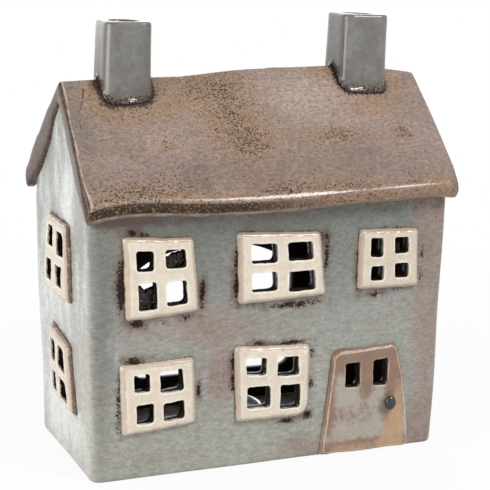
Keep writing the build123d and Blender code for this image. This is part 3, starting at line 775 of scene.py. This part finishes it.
def roof_marks(mesh, points):
    """Paints the roof's warm patches, specks, dark pools, painted sheen and worn edges with a painted highlight, from
    its points before they were shaped.
    """
    x, y, z = points.T
    aside, _, upward = normals_of(mesh).T
    down = np.abs(y) / math.cos(ROOF_PITCH)
    front = smooth(-y, -2.0, 2.0)
    sunk = roof_height(x, y) - z
    gap = np.full(len(points), 60.0)
    smear = np.full(len(points), 1.6)
    slope = np.array((1.0, 1 / math.cos(ROOF_PITCH)))
    for chimney in CHIMNEYS:
        ring = outline(chimney, (0, 1), slope)
        gap = np.minimum(gap, gap_to(points[:, :2] * slope, ring))
        smear += 1.8 * (gap < 20) * smooth(ring[:, 0].mean() - x, 4.0, 12.0)
    gap = np.maximum(gap, 0.0)
    nose = smooth(np.abs(y), EAVE - 4.5, EAVE - 2.0)
    leftward = smooth(-x, -70.0, 80.0)
    end = smooth(np.abs(aside), 0.25, 0.55)
    under = smooth(sunk, ROOF_DROP - 4.0, ROOF_DROP - 1.5)
    crack = 0.55 * np.exp(-(gap_to_line(np.stack((x, down), 1), CRACK) / 0.5) ** 2) * front * (sunk < 3)
    grey = smooth(-x, 83.0, 90.0) * (1 - smooth(down, 30.0, 60.0)) * front
    rough_end = end * smooth(y, 6.0, 12.0) * smooth(sunk, 1.0, 3.0)
    dark = 0.95 * np.exp(-gap / smear) + 0.3 * rough_end + crack
    face = nose * (1 - smooth(upward, 0.2, 0.5)) * (1 - end)
    lip = face * smooth(-upward, 0.2, 0.6) * (0.3 + 0.7 * leftward)
    ochre = patches(x, down, OCHRE) * front + patches(x, down, REAR_OCHRE) * (1 - front)
    speck = patches(x, down, SPECKS) * front + patches(x, down, REAR_SPECKS) * (1 - front)
    # Painted highlight along the rounded upper edge of each roof end, which is also a worn edge
    verge_highlight = np.exp(-((np.abs(aside) - 0.25) / 0.15) ** 2) * smooth(upward, 0.2, 0.5)
    paint(mesh,
          ochre=np.clip(ochre + 0.45 * np.exp(-gap / 7) + 0.3 * nose, 0, 1),
          speck=np.clip(speck + 0.7 * np.exp(-gap / 5) + 0.3 * nose + 0.4 * end, 0, 1.2),
          golden=np.maximum(np.exp(-gap / 4), face),
          bead=nose,
          dull=patches(x, down, DULL) * front,
          # Painted sheen
          pale=patches(x, down, ROOF_SHEEN) * front,
          dark=np.clip(dark * (1 - lip), 0, 1),
          lip=lip,
          nose=face * (1 - lip) * (0.3 + 0.9 * leftward ** 1.5),
          grey=grey,
          end=np.maximum(end, under * smooth(-x, SIDE - 2.0, SIDE)),
          edge=verge_highlight * smooth(np.abs(x), SIDE, SIDE + 2.0),
          stain=1 - gap / 2.2)


# Seed of the clay's wander, which would otherwise change from run to run
WANDER_SEED = 7


def wandering(points, size):
    """A smooth wander of points in every direction, up to about 1 each way."""
    noise.seed_set(WANDER_SEED)
    return np.array([noise.noise_vector(place) for place in (points / size).tolist()])


# Width of the round bevel along a tile's edge, and its radius
BEVEL, BEVEL_RADIUS = 2.6, 4.0


def tile_skin(node, axes, outward, face, grain):
    """A tile with a soft bevel, a flared foot, lips round its panes and edges that wander, and its marks."""
    mesh = softened(merged_copy([node]), grain, steps=5)
    outward = np.array(outward)
    points = points_of(mesh)
    proud = points @ outward - face
    gap = gap_to(points[:, axes], outline(node, axes))
    inset = np.clip(BEVEL + gap, 0.0, BEVEL)
    drop = np.minimum(proud, np.sqrt(BEVEL_RADIUS ** 2 - inset ** 2) - BEVEL_RADIUS) - proud
    points += outward * (drop * smooth(proud, -2.6, -1.6))[:, None]
    set_points(mesh, points)
    relax(mesh, 4, smooth(gap, -2.6, -0.8) * smooth(proud, -2.4, -1.0))
    edge = np.exp(-((gap + 1.0) / 0.5) ** 2) * smooth(proud, -2.4, -1.4)
    lip = np.clip(ridges(mesh, grain, 5), 0.0, 1.0) * smooth(-gap, 2.0, 3.4)
    foot = smooth(gap, -1.6, -0.4) * smooth(-proud, 0.8, 2.6)
    side = 1.5 - 1.1 * abs(outward[0])
    paint(mesh,
          edge=edge,
          lip=lip,
          reveal=smooth(-gap, 2.2, 3.2) * smooth(-proud, 0.2, 1.7),
          skirt=smooth(gap, -1.0, 0.2) * smooth(-proud, side, side + 1.1),
          rim=smooth(gap, -2.2, -0.8))
    points = points_of(mesh)
    points += normals_of(mesh) * (0.8 * foot)[:, None]
    points += outward * (0.4 * lip - 0.5 * smooth(-proud, 2.0, 2.8))[:, None]
    points += 0.3 * wandering(points, 6.0) + 0.1 * wandering(points, 2.2)
    set_points(mesh, hand_made(points))
    return mesh


# Crumbs of glaze

WALL_SEED, ROOF_SEED, CHIMNEY_SEED = 11, 12, 13


def crumb_tree(finish):
    """Tree that scatters crumbs of glaze over a skin where it is stained, and its named inputs."""
    tree = bpy.data.node_groups.new("glaze_crumbs", "GeometryNodeTree")
    tree.interface.new_socket("Skin", in_out="INPUT", socket_type="NodeSocketGeometry")
    kinds = {"Crumb size": "NodeSocketFloat", "Crumbs per area": "NodeSocketFloat", "Seed": "NodeSocketInt"}
    inputs = {name: tree.interface.new_socket(name, in_out="INPUT", socket_type=kind).identifier
              for name, kind in kinds.items()}
    tree.interface.new_socket("Crumbs", in_out="OUTPUT", socket_type="NodeSocketGeometry")

    def add(kind, settings=None, **sockets):
        node = tree.nodes.new(kind)
        for key, value in (settings or {}).items():
            setattr(node, key, value)
        for key, value in sockets.items():
            socket = node.inputs[key.replace("_", " ")]
            if isinstance(value, bpy.types.NodeSocket):
                tree.links.new(value, socket)
            else:
                socket.default_value = value
        return node

    def random(kind, low, high):
        node = add("FunctionNodeRandomValue", {"data_type": kind})
        ends = [socket for socket in node.inputs if socket.enabled and socket.name in ("Min", "Max")]
        ends[0].default_value, ends[1].default_value = low, high
        tree.links.new(given["Seed"], node.inputs["Seed"])
        return next(socket for socket in node.outputs if socket.enabled)

    given = add("NodeGroupInput").outputs
    stain = add("GeometryNodeInputNamedAttribute", {"data_type": "FLOAT"}, Name="stain").outputs["Attribute"]
    share = add("ShaderNodeMapRange", Value=stain, From_Min=0.15, From_Max=0.9).outputs["Result"]
    density = add("ShaderNodeMath", {"operation": "MULTIPLY"})
    tree.links.new(share, density.inputs[0])
    tree.links.new(given["Crumbs per area"], density.inputs[1])
    spots = add("GeometryNodeDistributePointsOnFaces", Mesh=given["Skin"], Density=density.outputs[0],
                Seed=given["Seed"])
    crumb = add("GeometryNodeMeshIcoSphere", Radius=0.5, Subdivisions=1)
    size = add("ShaderNodeVectorMath", {"operation": "SCALE"})
    tree.links.new(random("FLOAT_VECTOR", (0.35, 0.35, 0.25), (1.0, 1.0, 0.6)), size.inputs[0])
    tree.links.new(given["Crumb size"], size.inputs["Scale"])
    laid = add("GeometryNodeInstanceOnPoints", Points=spots.outputs["Points"], Instance=crumb.outputs["Mesh"],
               Rotation=spots.outputs["Rotation"], Scale=size.outputs[0])
    toned = add("GeometryNodeStoreNamedAttribute", {"data_type": "FLOAT", "domain": "INSTANCE"},
                Geometry=laid.outputs[0], Name="tone", Value=random("FLOAT", 0.0, 1.0))
    real = add("GeometryNodeRealizeInstances", Geometry=toned.outputs[0])
    done = add("GeometryNodeSetMaterial", Geometry=real.outputs[0], Material=finish.material)
    add("NodeGroupOutput", Crumbs=done.outputs[0])
    return tree, inputs


def scattered(name, skin, slot, seed):
    """Crumbs of glaze on a skin, as a piece of the house."""
    finish = crumb_finish(name)
    tree, inputs = crumb_tree(finish)
    thing = linked(name, skin.copy())
    crumbs = thing.modifiers.new("crumbs", "NODES")
    crumbs.node_group = tree
    crumbs[inputs["Crumb size"]] = clay().crumb_size
    crumbs[inputs["Crumbs per area"]] = clay().crumbs / MM ** 2
    crumbs[inputs["Seed"]] = seed
    placed(name, evaluated(thing), finish, "house", slot)


# Pieces

class TEALIGHT_HOUSE_OT_walls(bpy.types.Operator):
    """Build the four glazed walls and the floor"""
    bl_idname = "tealight_house.walls"
    bl_label = "Walls"

    def execute(self, context):
        finish = wall_finish()
        whole = softened(merged_copy(WALL_NODES), clay().wall_grain, steps=6)
        wall_marks(whole)
        points = points_of(whole)
        points[:, 2] = np.maximum(points[:, 2] - 0.9 * (1 - smooth(points[:, 2], 0.0, 5.0)), 0.0)
        set_points(whole, hand_made(points))
        scattered("wall_crumbs", whole, "wall_glaze", WALL_SEED)
        joint = SIDE - WALL - 1.6
        left = ((-joint, 0, 0), Vector((1, 0, LEFT_LEAN)))
        right = ((joint, 0, 0), Vector((-1, 0, RIGHT_LEAN)))
        middle = [(left[0], -left[1]), (right[0], -right[1])]
        cuts = {
            "left_gable_wall": [left],
            "right_gable_wall": [right],
            "front_wall": middle + [((0, 0, 0), (0, 1, 0))],
            "rear_wall": middle + [((0, 0, 0), (0, -1, 0))],
        }
        for node, planes in cuts.items():
            placed(f"{node}_skin", cut_piece(whole, planes), finish, "house", "wall_glaze", node)
        bpy.data.meshes.remove(whole)
        floor = softened(merged_copy(["floor_slab"]), 2 * clay().wall_grain, steps=2)
        placed("floor_slab_skin", floor, floor_finish(), "house", "floor_clay", "floor_slab")
        return {"FINISHED"}


class TEALIGHT_HOUSE_OT_roof(bpy.types.Operator):
    """Build the two roof slabs, joined along the ridge"""
    bl_idname = "tealight_house.roof"
    bl_label = "Roof"

    def execute(self, context):
        finish = roof_finish()
        whole = softened(merged_copy(ROOF_NODES), clay().roof_grain, steps=10)
        x, y, z = points_of(whole).T
        corner = smooth(np.abs(x), 80.0, 94.0) * np.maximum(smooth(z, 172.0, 186.0), smooth(np.abs(y), 42.0, 52.0))
        relax(whole, 16, corner)
        places = points_of(whole)
        points = places.copy()
        x, y, z = places.T
        sunk = roof_height(x, y) - z
        under = smooth(sunk, 5.0, ROOF_DROP - 1.0)
        rear = 6.0 * smooth(y, 4.0, 16.0) - 3.0 * smooth(y, 30.0, 48.0)
        front = 2.5 * smooth(-y, 4.0, 16.0) - 2.2 * smooth(-y, 32.0, 46.0)
        thick = smooth(-x, SIDE - 2.0, SIDE + 2.0) * (rear + front)
        hang = smooth(-y, 40.0, 50.0) * (1.5 * smooth(x, 80.0, 93.0) + 0.6 * smooth(-x, 80.0, 93.0))
        nose = NOSE_REACH * smooth(-y, EAVE - 14.0, EAVE - 2.0) * (1 - 0.5 * smooth(sunk, 3.0, 9.0))
        short = 4.0 * smooth(-x, 0.0, 96.0) * smooth(y, 20.0, 50.0)
        points[:, 1] -= math.cos(ROOF_PITCH) * (nose + short)
        points[:, 2] += math.sin(ROOF_PITCH) * (short - nose) - (thick + hang) * under
        set_points(whole, hand_made(points))
        relax(whole, 24, smooth(-y, EAVE - 8.0, EAVE - 4.0) * (1 - smooth(sunk, 3.5, 6.5)))
        roof_marks(whole, places)
        scattered("roof_crumbs", whole, "roof_glaze", ROOF_SEED)
        behind_ridge = (0, 4.0, 0)
        placed("front_roof_slab_skin", cut_piece(whole, [(behind_ridge, (0, 1, 0))]), finish,
               "house", "roof_glaze", "front_roof_slab")
        placed("rear_roof_slab_skin", cut_piece(whole, [(behind_ridge, (0, -1, 0))]), finish,
               "house", "roof_glaze", "rear_roof_slab")
        bpy.data.meshes.remove(whole)
        return {"FINISHED"}


def roof_height(x, y):
    """Height of the roof's upper face over a place."""
    return RIDGE + x * RIDGE_TILT - np.abs(y) * math.tan(ROOF_PITCH)


# Points of a collar: along each side of the chimney, round the chimney and round the collar's own section
COLLAR_SIDE, COLLAR_STEPS, COLLAR_SECTION = 24, 96, 10
# Radii in a flue: where its own glaze ends, where the chimney's begins, and inside which no crumbs lie
FLUE_DARK, FLUE_EDGE, FLUE_BARE = 7.2, 8.2, 9.0


def collar(node):
    """Ring of pooled glaze round a chimney's foot, as thick in some places as it ran."""
    corners = outline(node, (0, 1))
    ring = np.concatenate([np.linspace(start, end, COLLAR_SIDE, endpoint=False)
                           for start, end in zip(corners, np.roll(corners, -1, 0))])
    centre = corners.mean(0)
    angles = np.linspace(0, 2 * math.pi, COLLAR_STEPS, endpoint=False)
    bearing = np.arctan2(*(ring - centre).T[::-1])
    order = np.argsort(bearing)
    distance = np.linalg.norm(ring - centre, axis=1)
    reach = np.interp(angles - math.pi, bearing[order], distance[order], period=2 * math.pi)
    shape = bmesh.new()
    loops = []
    for angle, far in zip(angles - math.pi, reach):
        thick = clay().collar / MM * (0.75 + 0.2 * math.sin(3 * angle + 1) + 0.15 * math.sin(7 * angle))
        out = np.array((math.cos(angle), math.sin(angle)))
        x, y = centre + out * (far - 0.2)
        middle = Vector((x, y, roof_height(x, y) + 0.2))
        loops.append([shape.verts.new((middle + thick * (Vector((*out, 0)) * math.cos(turn)
                                                         + Vector((0, 0, math.sin(turn))))) * MM)
                      for turn in np.linspace(0, 2 * math.pi, COLLAR_SECTION, endpoint=False)])
    for one, two in zip(loops, loops[1:] + loops[:1]):
        for i in range(len(one)):
            j = (i + 1) % len(one)
            shape.faces.new((one[i], two[i], two[j], one[j]))
    bmesh.ops.recalc_face_normals(shape, faces=shape.faces)
    return mesh_from(shape, "collar")


def joined(*meshes):
    """Several meshes as one."""
    shape = bmesh.new()
    for mesh in meshes:
        shape.from_mesh(mesh)
        bpy.data.meshes.remove(mesh)
    return mesh_from(shape, "joined")


class TEALIGHT_HOUSE_OT_chimneys(bpy.types.Operator):
    """Build the two chimneys with glaze pooled round their feet"""
    bl_idname = "tealight_house.chimneys"
    bl_label = "Chimneys"

    def execute(self, context):
        finish = chimney_finish()
        grain = clay().chimney_grain
        for node in CHIMNEYS:
            mesh = softened(joined(merged_copy([node]), collar(node)), grain, steps=10)
            points = points_of(mesh)
            x, y, z = points.T
            low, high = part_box(node)
            centre = (low + high) / 2 / MM
            foot = z - roof_height(x, y)
            bore = np.hypot(x - centre.x, y - centre.y)
            pool = 1.2 - np.abs(foot - 1.0) / 2.4 + 0.4 * cloudy(points, 4.0)
            paint(mesh,
                  edge=ridges(mesh, grain),
                  foot=foot,
                  inside=smooth(-bore, -FLUE_EDGE, -FLUE_DARK),
                  # Painted shade on the left-facing sides
                  leftward=smooth(-normals_of(mesh)[:, 0], 0.5, 0.9),
                  stain=np.where(bore < FLUE_BARE, -2.0, pool))
            set_points(mesh, hand_made(points))
            scattered(f"{node}_crumbs", mesh, "chimney_glaze", CHIMNEY_SEED)
            placed(f"{node}_skin", mesh, finish, "house", "chimney_glaze", node)
        return {"FINISHED"}


class TEALIGHT_HOUSE_OT_windows(bpy.types.Operator):
    """Build the applied window tiles"""
    bl_idname = "tealight_house.windows"
    bl_label = "Windows"

    def execute(self, context):
        finish = window_finish()
        left = Vector((-1, 0, -LEFT_LEAN)).normalized()
        right = Vector((1, 0, -RIGHT_LEAN)).normalized()
        walls = (
            (FRONT_WINDOWS, (0, 2), Vector((0, -1, 0)), FACE),
            (LEFT_WINDOWS, (1, 2), left, SIDE),
            (RIGHT_WINDOWS, (1, 2), right, SIDE),
        )
        grain = clay().tile_grain
        for windows, axes, outward, face in walls:
            for node in windows:
                mesh = tile_skin(node, axes, outward, face + TILE_THICKNESS, grain)
                placed(f"{node}_skin", mesh, finish, "house", "window_glaze", node)
        return {"FINISHED"}


# Ragged clay left standing in two panes of the upper left window: outlines across and up
BURRS = (
    ((-57.1, 99.8), (-56.9, 106.2), (-55.0, 106.5), (-53.8, 107.4), (-53.0, 108.1), (-51.3, 108.3), (-49.8, 108.8),
     (-47.4, 108.9), (-44.4, 109.4), (-43.7, 99.3), (-50.6, 98.8)),
    ((-70.0, 80.2), (-70.2, 92.8), (-68.2, 93.2), (-67.3, 92.6), (-66.5, 91.9), (-65.8, 90.4), (-65.0, 91.7),
     (-63.8, 92.6), (-61.9, 92.9), (-60.4, 93.8), (-58.0, 94.1), (-57.7, 79.7)))
BURR_DEPTH = (-43.2, -40.6)


def burr(ring):
    """A lump of clay with a given outline in the front wall's thickness."""
    shape = bmesh.new()
    front, back = ([shape.verts.new(Vector((x, y, z)) * MM) for x, z in ring] for y in BURR_DEPTH)
    for i in range(len(ring)):
        j = (i + 1) % len(ring)
        shape.faces.new((front[i], front[j], back[j], back[i]))
    shape.faces.new(front)
    shape.faces.new(back)
    bmesh.ops.triangulate(shape, faces=shape.faces[:])
    bmesh.ops.recalc_face_normals(shape, faces=shape.faces)
    return mesh_from(shape, "burr")


class TEALIGHT_HOUSE_OT_burrs(bpy.types.Operator):
    """Build the ragged clay left in two panes"""
    bl_idname = "tealight_house.burrs"
    bl_label = "Pane burrs"

    def execute(self, context):
        mesh = softened(joined(*(burr(ring) for ring in BURRS)), clay().tile_grain, steps=2)
        points = points_of(mesh)
        paint(mesh, tone=0.5 + 0.5 * cloudy(points, 1.5))
        points += 0.7 * wandering(points, 1.8) + 0.35 * wandering(points, 0.8)
        set_points(mesh, hand_made(points))
        placed("pane_burrs", mesh, crumb_finish("burr_glaze"), "house", "wall_glaze")
        return {"FINISHED"}


# Brown wash and honey glaze on the door: place across and up, two radii and a strength
WASH = (
    (48, 50, 26, 8, 1.0), (48, 51, 24, 5, 0.6), (66, 30, 5, 30, 1.0), (29, 30, 4, 24, 0.7), (50, 38, 4, 10, 1.0),
    (50, 3, 30, 5, 0.8), (44, 20, 14, 6, 0.4))
# How much the door's top tilts about its middle, and how the knob departs from round
DOOR_TILT, DOOR_MIDDLE = 0.08, 48.0
KNOB_SHAPE = (0.95, 1.0, 1.18)
HONEY = ((68, 14, 4, 22, 1.0), (62, 8, 4, 10, 0.6), (46, 3, 24, 3, 0.6), (40, 14, 10, 4, 0.3))


class TEALIGHT_HOUSE_OT_door(bpy.types.Operator):
    """Build the front door and its knob"""
    bl_idname = "tealight_house.door"
    bl_label = "Door"

    def execute(self, context):
        grain = clay().door_grain
        mesh = tile_skin("front_door", (0, 2), (0, -1, 0), FACE + DOOR_THICKNESS, grain)
        points = points_of(mesh)
        x, _, z = points.T
        paint(mesh, wash=patches(x, z, WASH), honey=patches(x, z, HONEY))
        points[:, 2] += DOOR_TILT * (x - DOOR_MIDDLE) * smooth(z, 36.0, 53.0)
        set_points(mesh, points)
        placed("front_door_skin", mesh, door_finish(), "house", "door_glaze", "front_door")
        knob = softened(merged_copy(["door_knob"]), 0.5 * grain, steps=5)
        points = points_of(knob)
        middle = points.mean(0)
        set_points(knob, hand_made(middle + (points - middle) * KNOB_SHAPE))
        placed("door_knob_skin", knob, knob_finish(), "house", "knob_glaze", "door_knob")
        return {"FINISHED"}


# Half sections of the tealight: radius, height and how deep its flutes are there
CUP_SECTION = (
    (0, 0.3, 0), (5.5, 0.3, 0), (6, 0, 0), (9, 0, 0), (9.5, 0.25, 0), (13, 0.25, 0), (13.5, 0, 0), (17.6, 0, 0),
    (18.3, 0.2, 0), (18.8, 0.7, 0), (19, 1.5, 0), (19, 2.3, 0.35), (19, 7.5, 0.35), (19, 12.6, 0.35), (19, 13.4, 0),
    (19, 14.3, 0), (19.1, 14.7, 0), (19.45, 14.75, 0), (19.7, 15, 0), (19.65, 15.3, 0), (19.4, 15.5, 0),
    (18.9, 15.45, 0), (18.5, 15.1, 0), (18.4, 14.4, 0), (18.4, 1.8, 0), (18.2, 1.1, 0), (17.6, 0.75, 0), (0, 0.75, 0))
WAX_SECTION = (
    (6.6, 0.75, 0), (17.2, 0.8, 0), (18, 1.7, 0), (18.1, 2.5, 0), (18.1, 12.2, 0), (18, 12.5, 0), (17.7, 12.3, 0),
    (17, 12.05, 0), (15.5, 11.95, 0), (11, 11.85, 0), (6, 11.8, 0), (3, 11.85, 0), (1.9, 12.05, 0), (1.25, 12.45, 0),
    (1.02, 12.3, 0), (1, 11.5, 0), (1, 4.2, 0), (1.6, 4.2, 0), (1.6, 1.25, 0), (6.6, 1.25, 0))
FLUTES = 48
WICK_LOW, WICK_HIGH, WICK_RADIUS = 0.7, 19.0, 0.9
WICK_STEPS, WICK_SECTION, WICK_STRANDS, WICK_TWIST = 70, 24, 3, 1.3


def ringed(rings, ends):
    """Closed mesh through rings of points, joined end to end or closed at both ends."""
    shape = bmesh.new()
    rows = [[shape.verts.new(point) for point in ring] for ring in rings]
    pairs = list(zip(rows, rows[1:])) + ([] if ends else [(rows[-1], rows[0])])
    for one, two in pairs:
        for i in range(len(one)):
            j = (i + 1) % len(one)
            shape.faces.new((one[i], one[j], two[j], two[i]))
    if ends:
        shape.faces.new(rows[0])
        shape.faces.new(rows[-1])
    bmesh.ops.remove_doubles(shape, verts=shape.verts, dist=1e-7)
    bmesh.ops.recalc_face_normals(shape, faces=shape.faces)
    return mesh_from(shape, "rings")


def turned(section):
    """Mesh turned about the tealight's middle from a half section, with flutes where it asks for them."""
    rings = []
    for angle in np.linspace(0, 2 * math.pi, 4 * FLUTES, endpoint=False):
        fold = 0.5 + 0.5 * math.cos(FLUTES * angle)
        out = Vector((math.cos(angle), math.sin(angle), 0))
        rings.append([(TEALIGHT + out * (radius - depth * fold) + Vector((0, 0, height))) * MM
                      for radius, height, depth in section])
    return ringed(rings, ends=False)


def twisted_wick():
    """Wick of three twisted strands that bends a little at its top."""
    rings = []
    for height in np.linspace(WICK_LOW, WICK_HIGH, WICK_STEPS):
        bend = 0.7 * smooth(height, 13.0, WICK_HIGH)
        thin = 1 - 0.35 * smooth(height, WICK_HIGH - 0.7, WICK_HIGH)
        ring = []
        for angle in np.linspace(0, 2 * math.pi, WICK_SECTION, endpoint=False):
            radius = WICK_RADIUS * thin * (0.84 + 0.16 * math.cos(WICK_STRANDS * (angle - height * WICK_TWIST)))
            ring.append((TEALIGHT + Vector((bend + radius * math.cos(angle), radius * math.sin(angle), height))) * MM)
        rings.append(ring)
    return ringed(rings, ends=True)


class TEALIGHT_HOUSE_OT_tealight(bpy.types.Operator):
    """Build the tealight: its fluted cup, wax, wick and the wick's foot"""
    bl_idname = "tealight_house.tealight"
    bl_label = "Tealight"

    def execute(self, context):
        placed("tealight_cup_skin", turned(CUP_SECTION), metal_finish("cup_metal", 0.8),
               "tealight", "cup_metal", "tealight_cup")
        placed("tealight_wax_skin", turned(WAX_SECTION), wax_finish(), "candle", "wax", "tealight_wax")
        placed("wick_skin", twisted_wick(), wick_finish(), "candle", "wick_cotton", "wick")
        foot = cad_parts["wick_foot"].data
        foot.materials.clear()
        foot.materials.append(metal_finish("foot_metal", 0.6).material)
        return {"FINISHED"}


# Stage

CAMERA_PLACE = (-282.3, -659.8, 258.0)
CAMERA_YAW, CAMERA_PITCH, CAMERA_ROLL = (math.radians(angle) for angle in (23.31, 12.44, 1.61))
CAMERA_LENS = 107.08
# Rays that meet the floor and the air as white, and how strongly the air lights everything else
WHITE_RAYS = ("Camera", "Glossy", "Transmission")
AIR_LIGHT = 0.385
# Half the floor's width, its white share near the house, and the distances over which it turns all white, in metres
FLOOR_REACH, FLOOR_WHITE, FLOOR_FADE = 3.0, 0.9, (0.2, 0.55)
# Lamps: where each stands and what it faces in metres, its size and its power in watts
HOUSE_MIDDLE = (0, 0, 0.09)
LAMPS = {
    "left_box": ((-0.95, -0.15, 0.25), HOUSE_MIDDLE, (0.7, 0.9), 11.0),
    "streak_box": ((0.40, -0.60, 0.81), (0.0, -0.05, 0.13), (0.17, 0.45), 6.2),
    "front_fill": ((0.5, -1.0, 0.5), HOUSE_MIDDLE, (0.9, 0.6), 0.6),
    "rear_box": ((0.1, 1.0, 0.5), HOUSE_MIDDLE, (1.2, 0.8), 4.0),
}


def add_camera():
    """Camera at the viewing angle of the photograph."""
    ahead = Vector((math.sin(CAMERA_YAW) * math.cos(CAMERA_PITCH),
                    math.cos(CAMERA_YAW) * math.cos(CAMERA_PITCH), -math.sin(CAMERA_PITCH)))
    level = Vector((math.cos(CAMERA_YAW), -math.sin(CAMERA_YAW), 0))
    upward = level.cross(ahead)
    right = math.cos(CAMERA_ROLL) * level + math.sin(CAMERA_ROLL) * upward
    up = -math.sin(CAMERA_ROLL) * level + math.cos(CAMERA_ROLL) * upward
    lens = bpy.data.cameras.new("camera")
    lens.lens = CAMERA_LENS
    lens.sensor_width = 36
    lens.clip_start = 0.01
    camera = bpy.data.objects.new("camera", lens)
    turn = Matrix((right, up, -ahead)).transposed().to_4x4()
    camera.matrix_world = Matrix.Translation(Vector(CAMERA_PLACE) * MM) @ turn
    bpy.context.scene.collection.objects.link(camera)
    bpy.context.scene.camera = camera


def add_light(name, place, target, size, power):
    """Soft rectangular lamp that looks at a target."""
    lamp = bpy.data.lights.new(name, "AREA")
    lamp.shape = "RECTANGLE"
    lamp.size, lamp.size_y = size
    lamp.energy = power
    thing = bpy.data.objects.new(name, lamp)
    thing.location = place
    thing.rotation_euler = (Vector(target) - Vector(place)).to_track_quat("-Z", "Y").to_euler()
    bpy.context.scene.collection.objects.link(thing)


def floor_stage():
    """White floor that keeps the object's shadow."""
    finish = Finish("stage_floor")
    grain = finish.noise(300, 2)
    finish.set(Base_Color=finish.mix(grain, rgb(226, 226, 226), rgb(218, 218, 218)), Roughness=0.7)
    glow = finish.node("ShaderNodeEmission", {}, {"Color": (1, 1, 1), "Strength": 1.0})
    away = finish.node("ShaderNodeVectorMath", {"operation": "LENGTH"}, {0: finish.place}, output="Value")
    camera, glossy, clear = (finish.node("ShaderNodeLightPath", output=f"Is {ray} Ray") for ray in WHITE_RAYS)
    share = camera.most(glossy).most(clear) * (FLOOR_WHITE + away.rise(*FLOOR_FADE) * (1 - FLOOR_WHITE))
    blend = finish.node("ShaderNodeMixShader", {}, {0: share})
    finish.tree.links.new(finish.shader.outputs[0], blend.socket.node.inputs[1])
    finish.tree.links.new(glow.socket, blend.socket.node.inputs[2])
    finish.tree.links.new(blend.socket, finish.tree.nodes["Material Output"].inputs["Surface"])
    return finish


def add_world():
    """Even studio air: plain light on the object, and white where it is seen."""
    world = bpy.data.worlds.new("studio")
    world.use_nodes = True
    bpy.context.scene.world = world
    nodes, links = world.node_tree.nodes, world.node_tree.links
    path, mix = nodes.new("ShaderNodeLightPath"), nodes.new("ShaderNodeMix")
    seen, *others = (path.outputs[f"Is {ray} Ray"] for ray in WHITE_RAYS)
    for other in others:
        most = nodes.new("ShaderNodeMath")
        most.operation = "MAXIMUM"
        links.new(seen, most.inputs[0])
        links.new(other, most.inputs[1])
        seen = most.outputs[0]
    links.new(seen, mix.inputs[0])
    mix.inputs[2].default_value = AIR_LIGHT
    mix.inputs[3].default_value = 1.0
    air = nodes["Background"]
    air.inputs["Color"].default_value = (1, 1, 1, 1)
    links.new(mix.outputs[0], air.inputs["Strength"])


class TEALIGHT_HOUSE_OT_stage(bpy.types.Operator):
    """Set the camera, the studio light and the floor"""
    bl_idname = "tealight_house.stage"
    bl_label = "Stage"

    def execute(self, context):
        context.scene.view_settings.view_transform = "Standard"
        add_camera()
        add_world()
        for name, settings in LAMPS.items():
            add_light(name, *settings)
        shape = bmesh.new()
        bmesh.ops.create_grid(shape, x_segments=8, y_segments=8, size=FLOOR_REACH)
        mesh = mesh_from(shape, "stage_floor")
        mesh.materials.append(floor_stage().material)
        linked("stage_floor", mesh)
        return {"FINISHED"}


class TEALIGHT_HOUSE_PT_panel(bpy.types.Panel):
    """Sizes, colours and building steps of the tealight house"""
    bl_label = "Tealight house"
    bl_space_type = "VIEW_3D"
    bl_region_type = "UI"
    bl_category = "Tealight house"

    def draw(self, context):
        for step in STEPS:
            self.layout.operator(step.bl_idname)
        for group in (context.scene.tealight_house_clay, context.scene.tealight_house_glazes):
            box = self.layout.box()
            for key in group.bl_rna.properties.keys():
                if key not in ("rna_type", "name"):
                    box.prop(group, key)


STEPS = (
    TEALIGHT_HOUSE_OT_walls, TEALIGHT_HOUSE_OT_roof, TEALIGHT_HOUSE_OT_chimneys, TEALIGHT_HOUSE_OT_windows,
    TEALIGHT_HOUSE_OT_burrs, TEALIGHT_HOUSE_OT_door, TEALIGHT_HOUSE_OT_tealight, TEALIGHT_HOUSE_OT_stage)
CLASSES = (TealightHouseClay, TealightHouseGlazes, *STEPS, TEALIGHT_HOUSE_PT_panel)


def register():
    for part in CLASSES:
        bpy.utils.register_class(part)
    bpy.types.Scene.tealight_house_clay = bpy.props.PointerProperty(type=TealightHouseClay)
    bpy.types.Scene.tealight_house_glazes = bpy.props.PointerProperty(type=TealightHouseGlazes)


def unregister():
    del bpy.types.Scene.tealight_house_glazes
    del bpy.types.Scene.tealight_house_clay
    for part in reversed(CLASSES):
        bpy.utils.unregister_class(part)


def main():
    """Builds every piece and the stage."""
    register()
    build = bpy.ops.tealight_house
    build.walls()
    build.roof()
    build.chimneys()
    build.windows()
    build.burrs()
    build.door()
    build.tealight()
    build.stage()


if __name__ == "__main__":
    main()
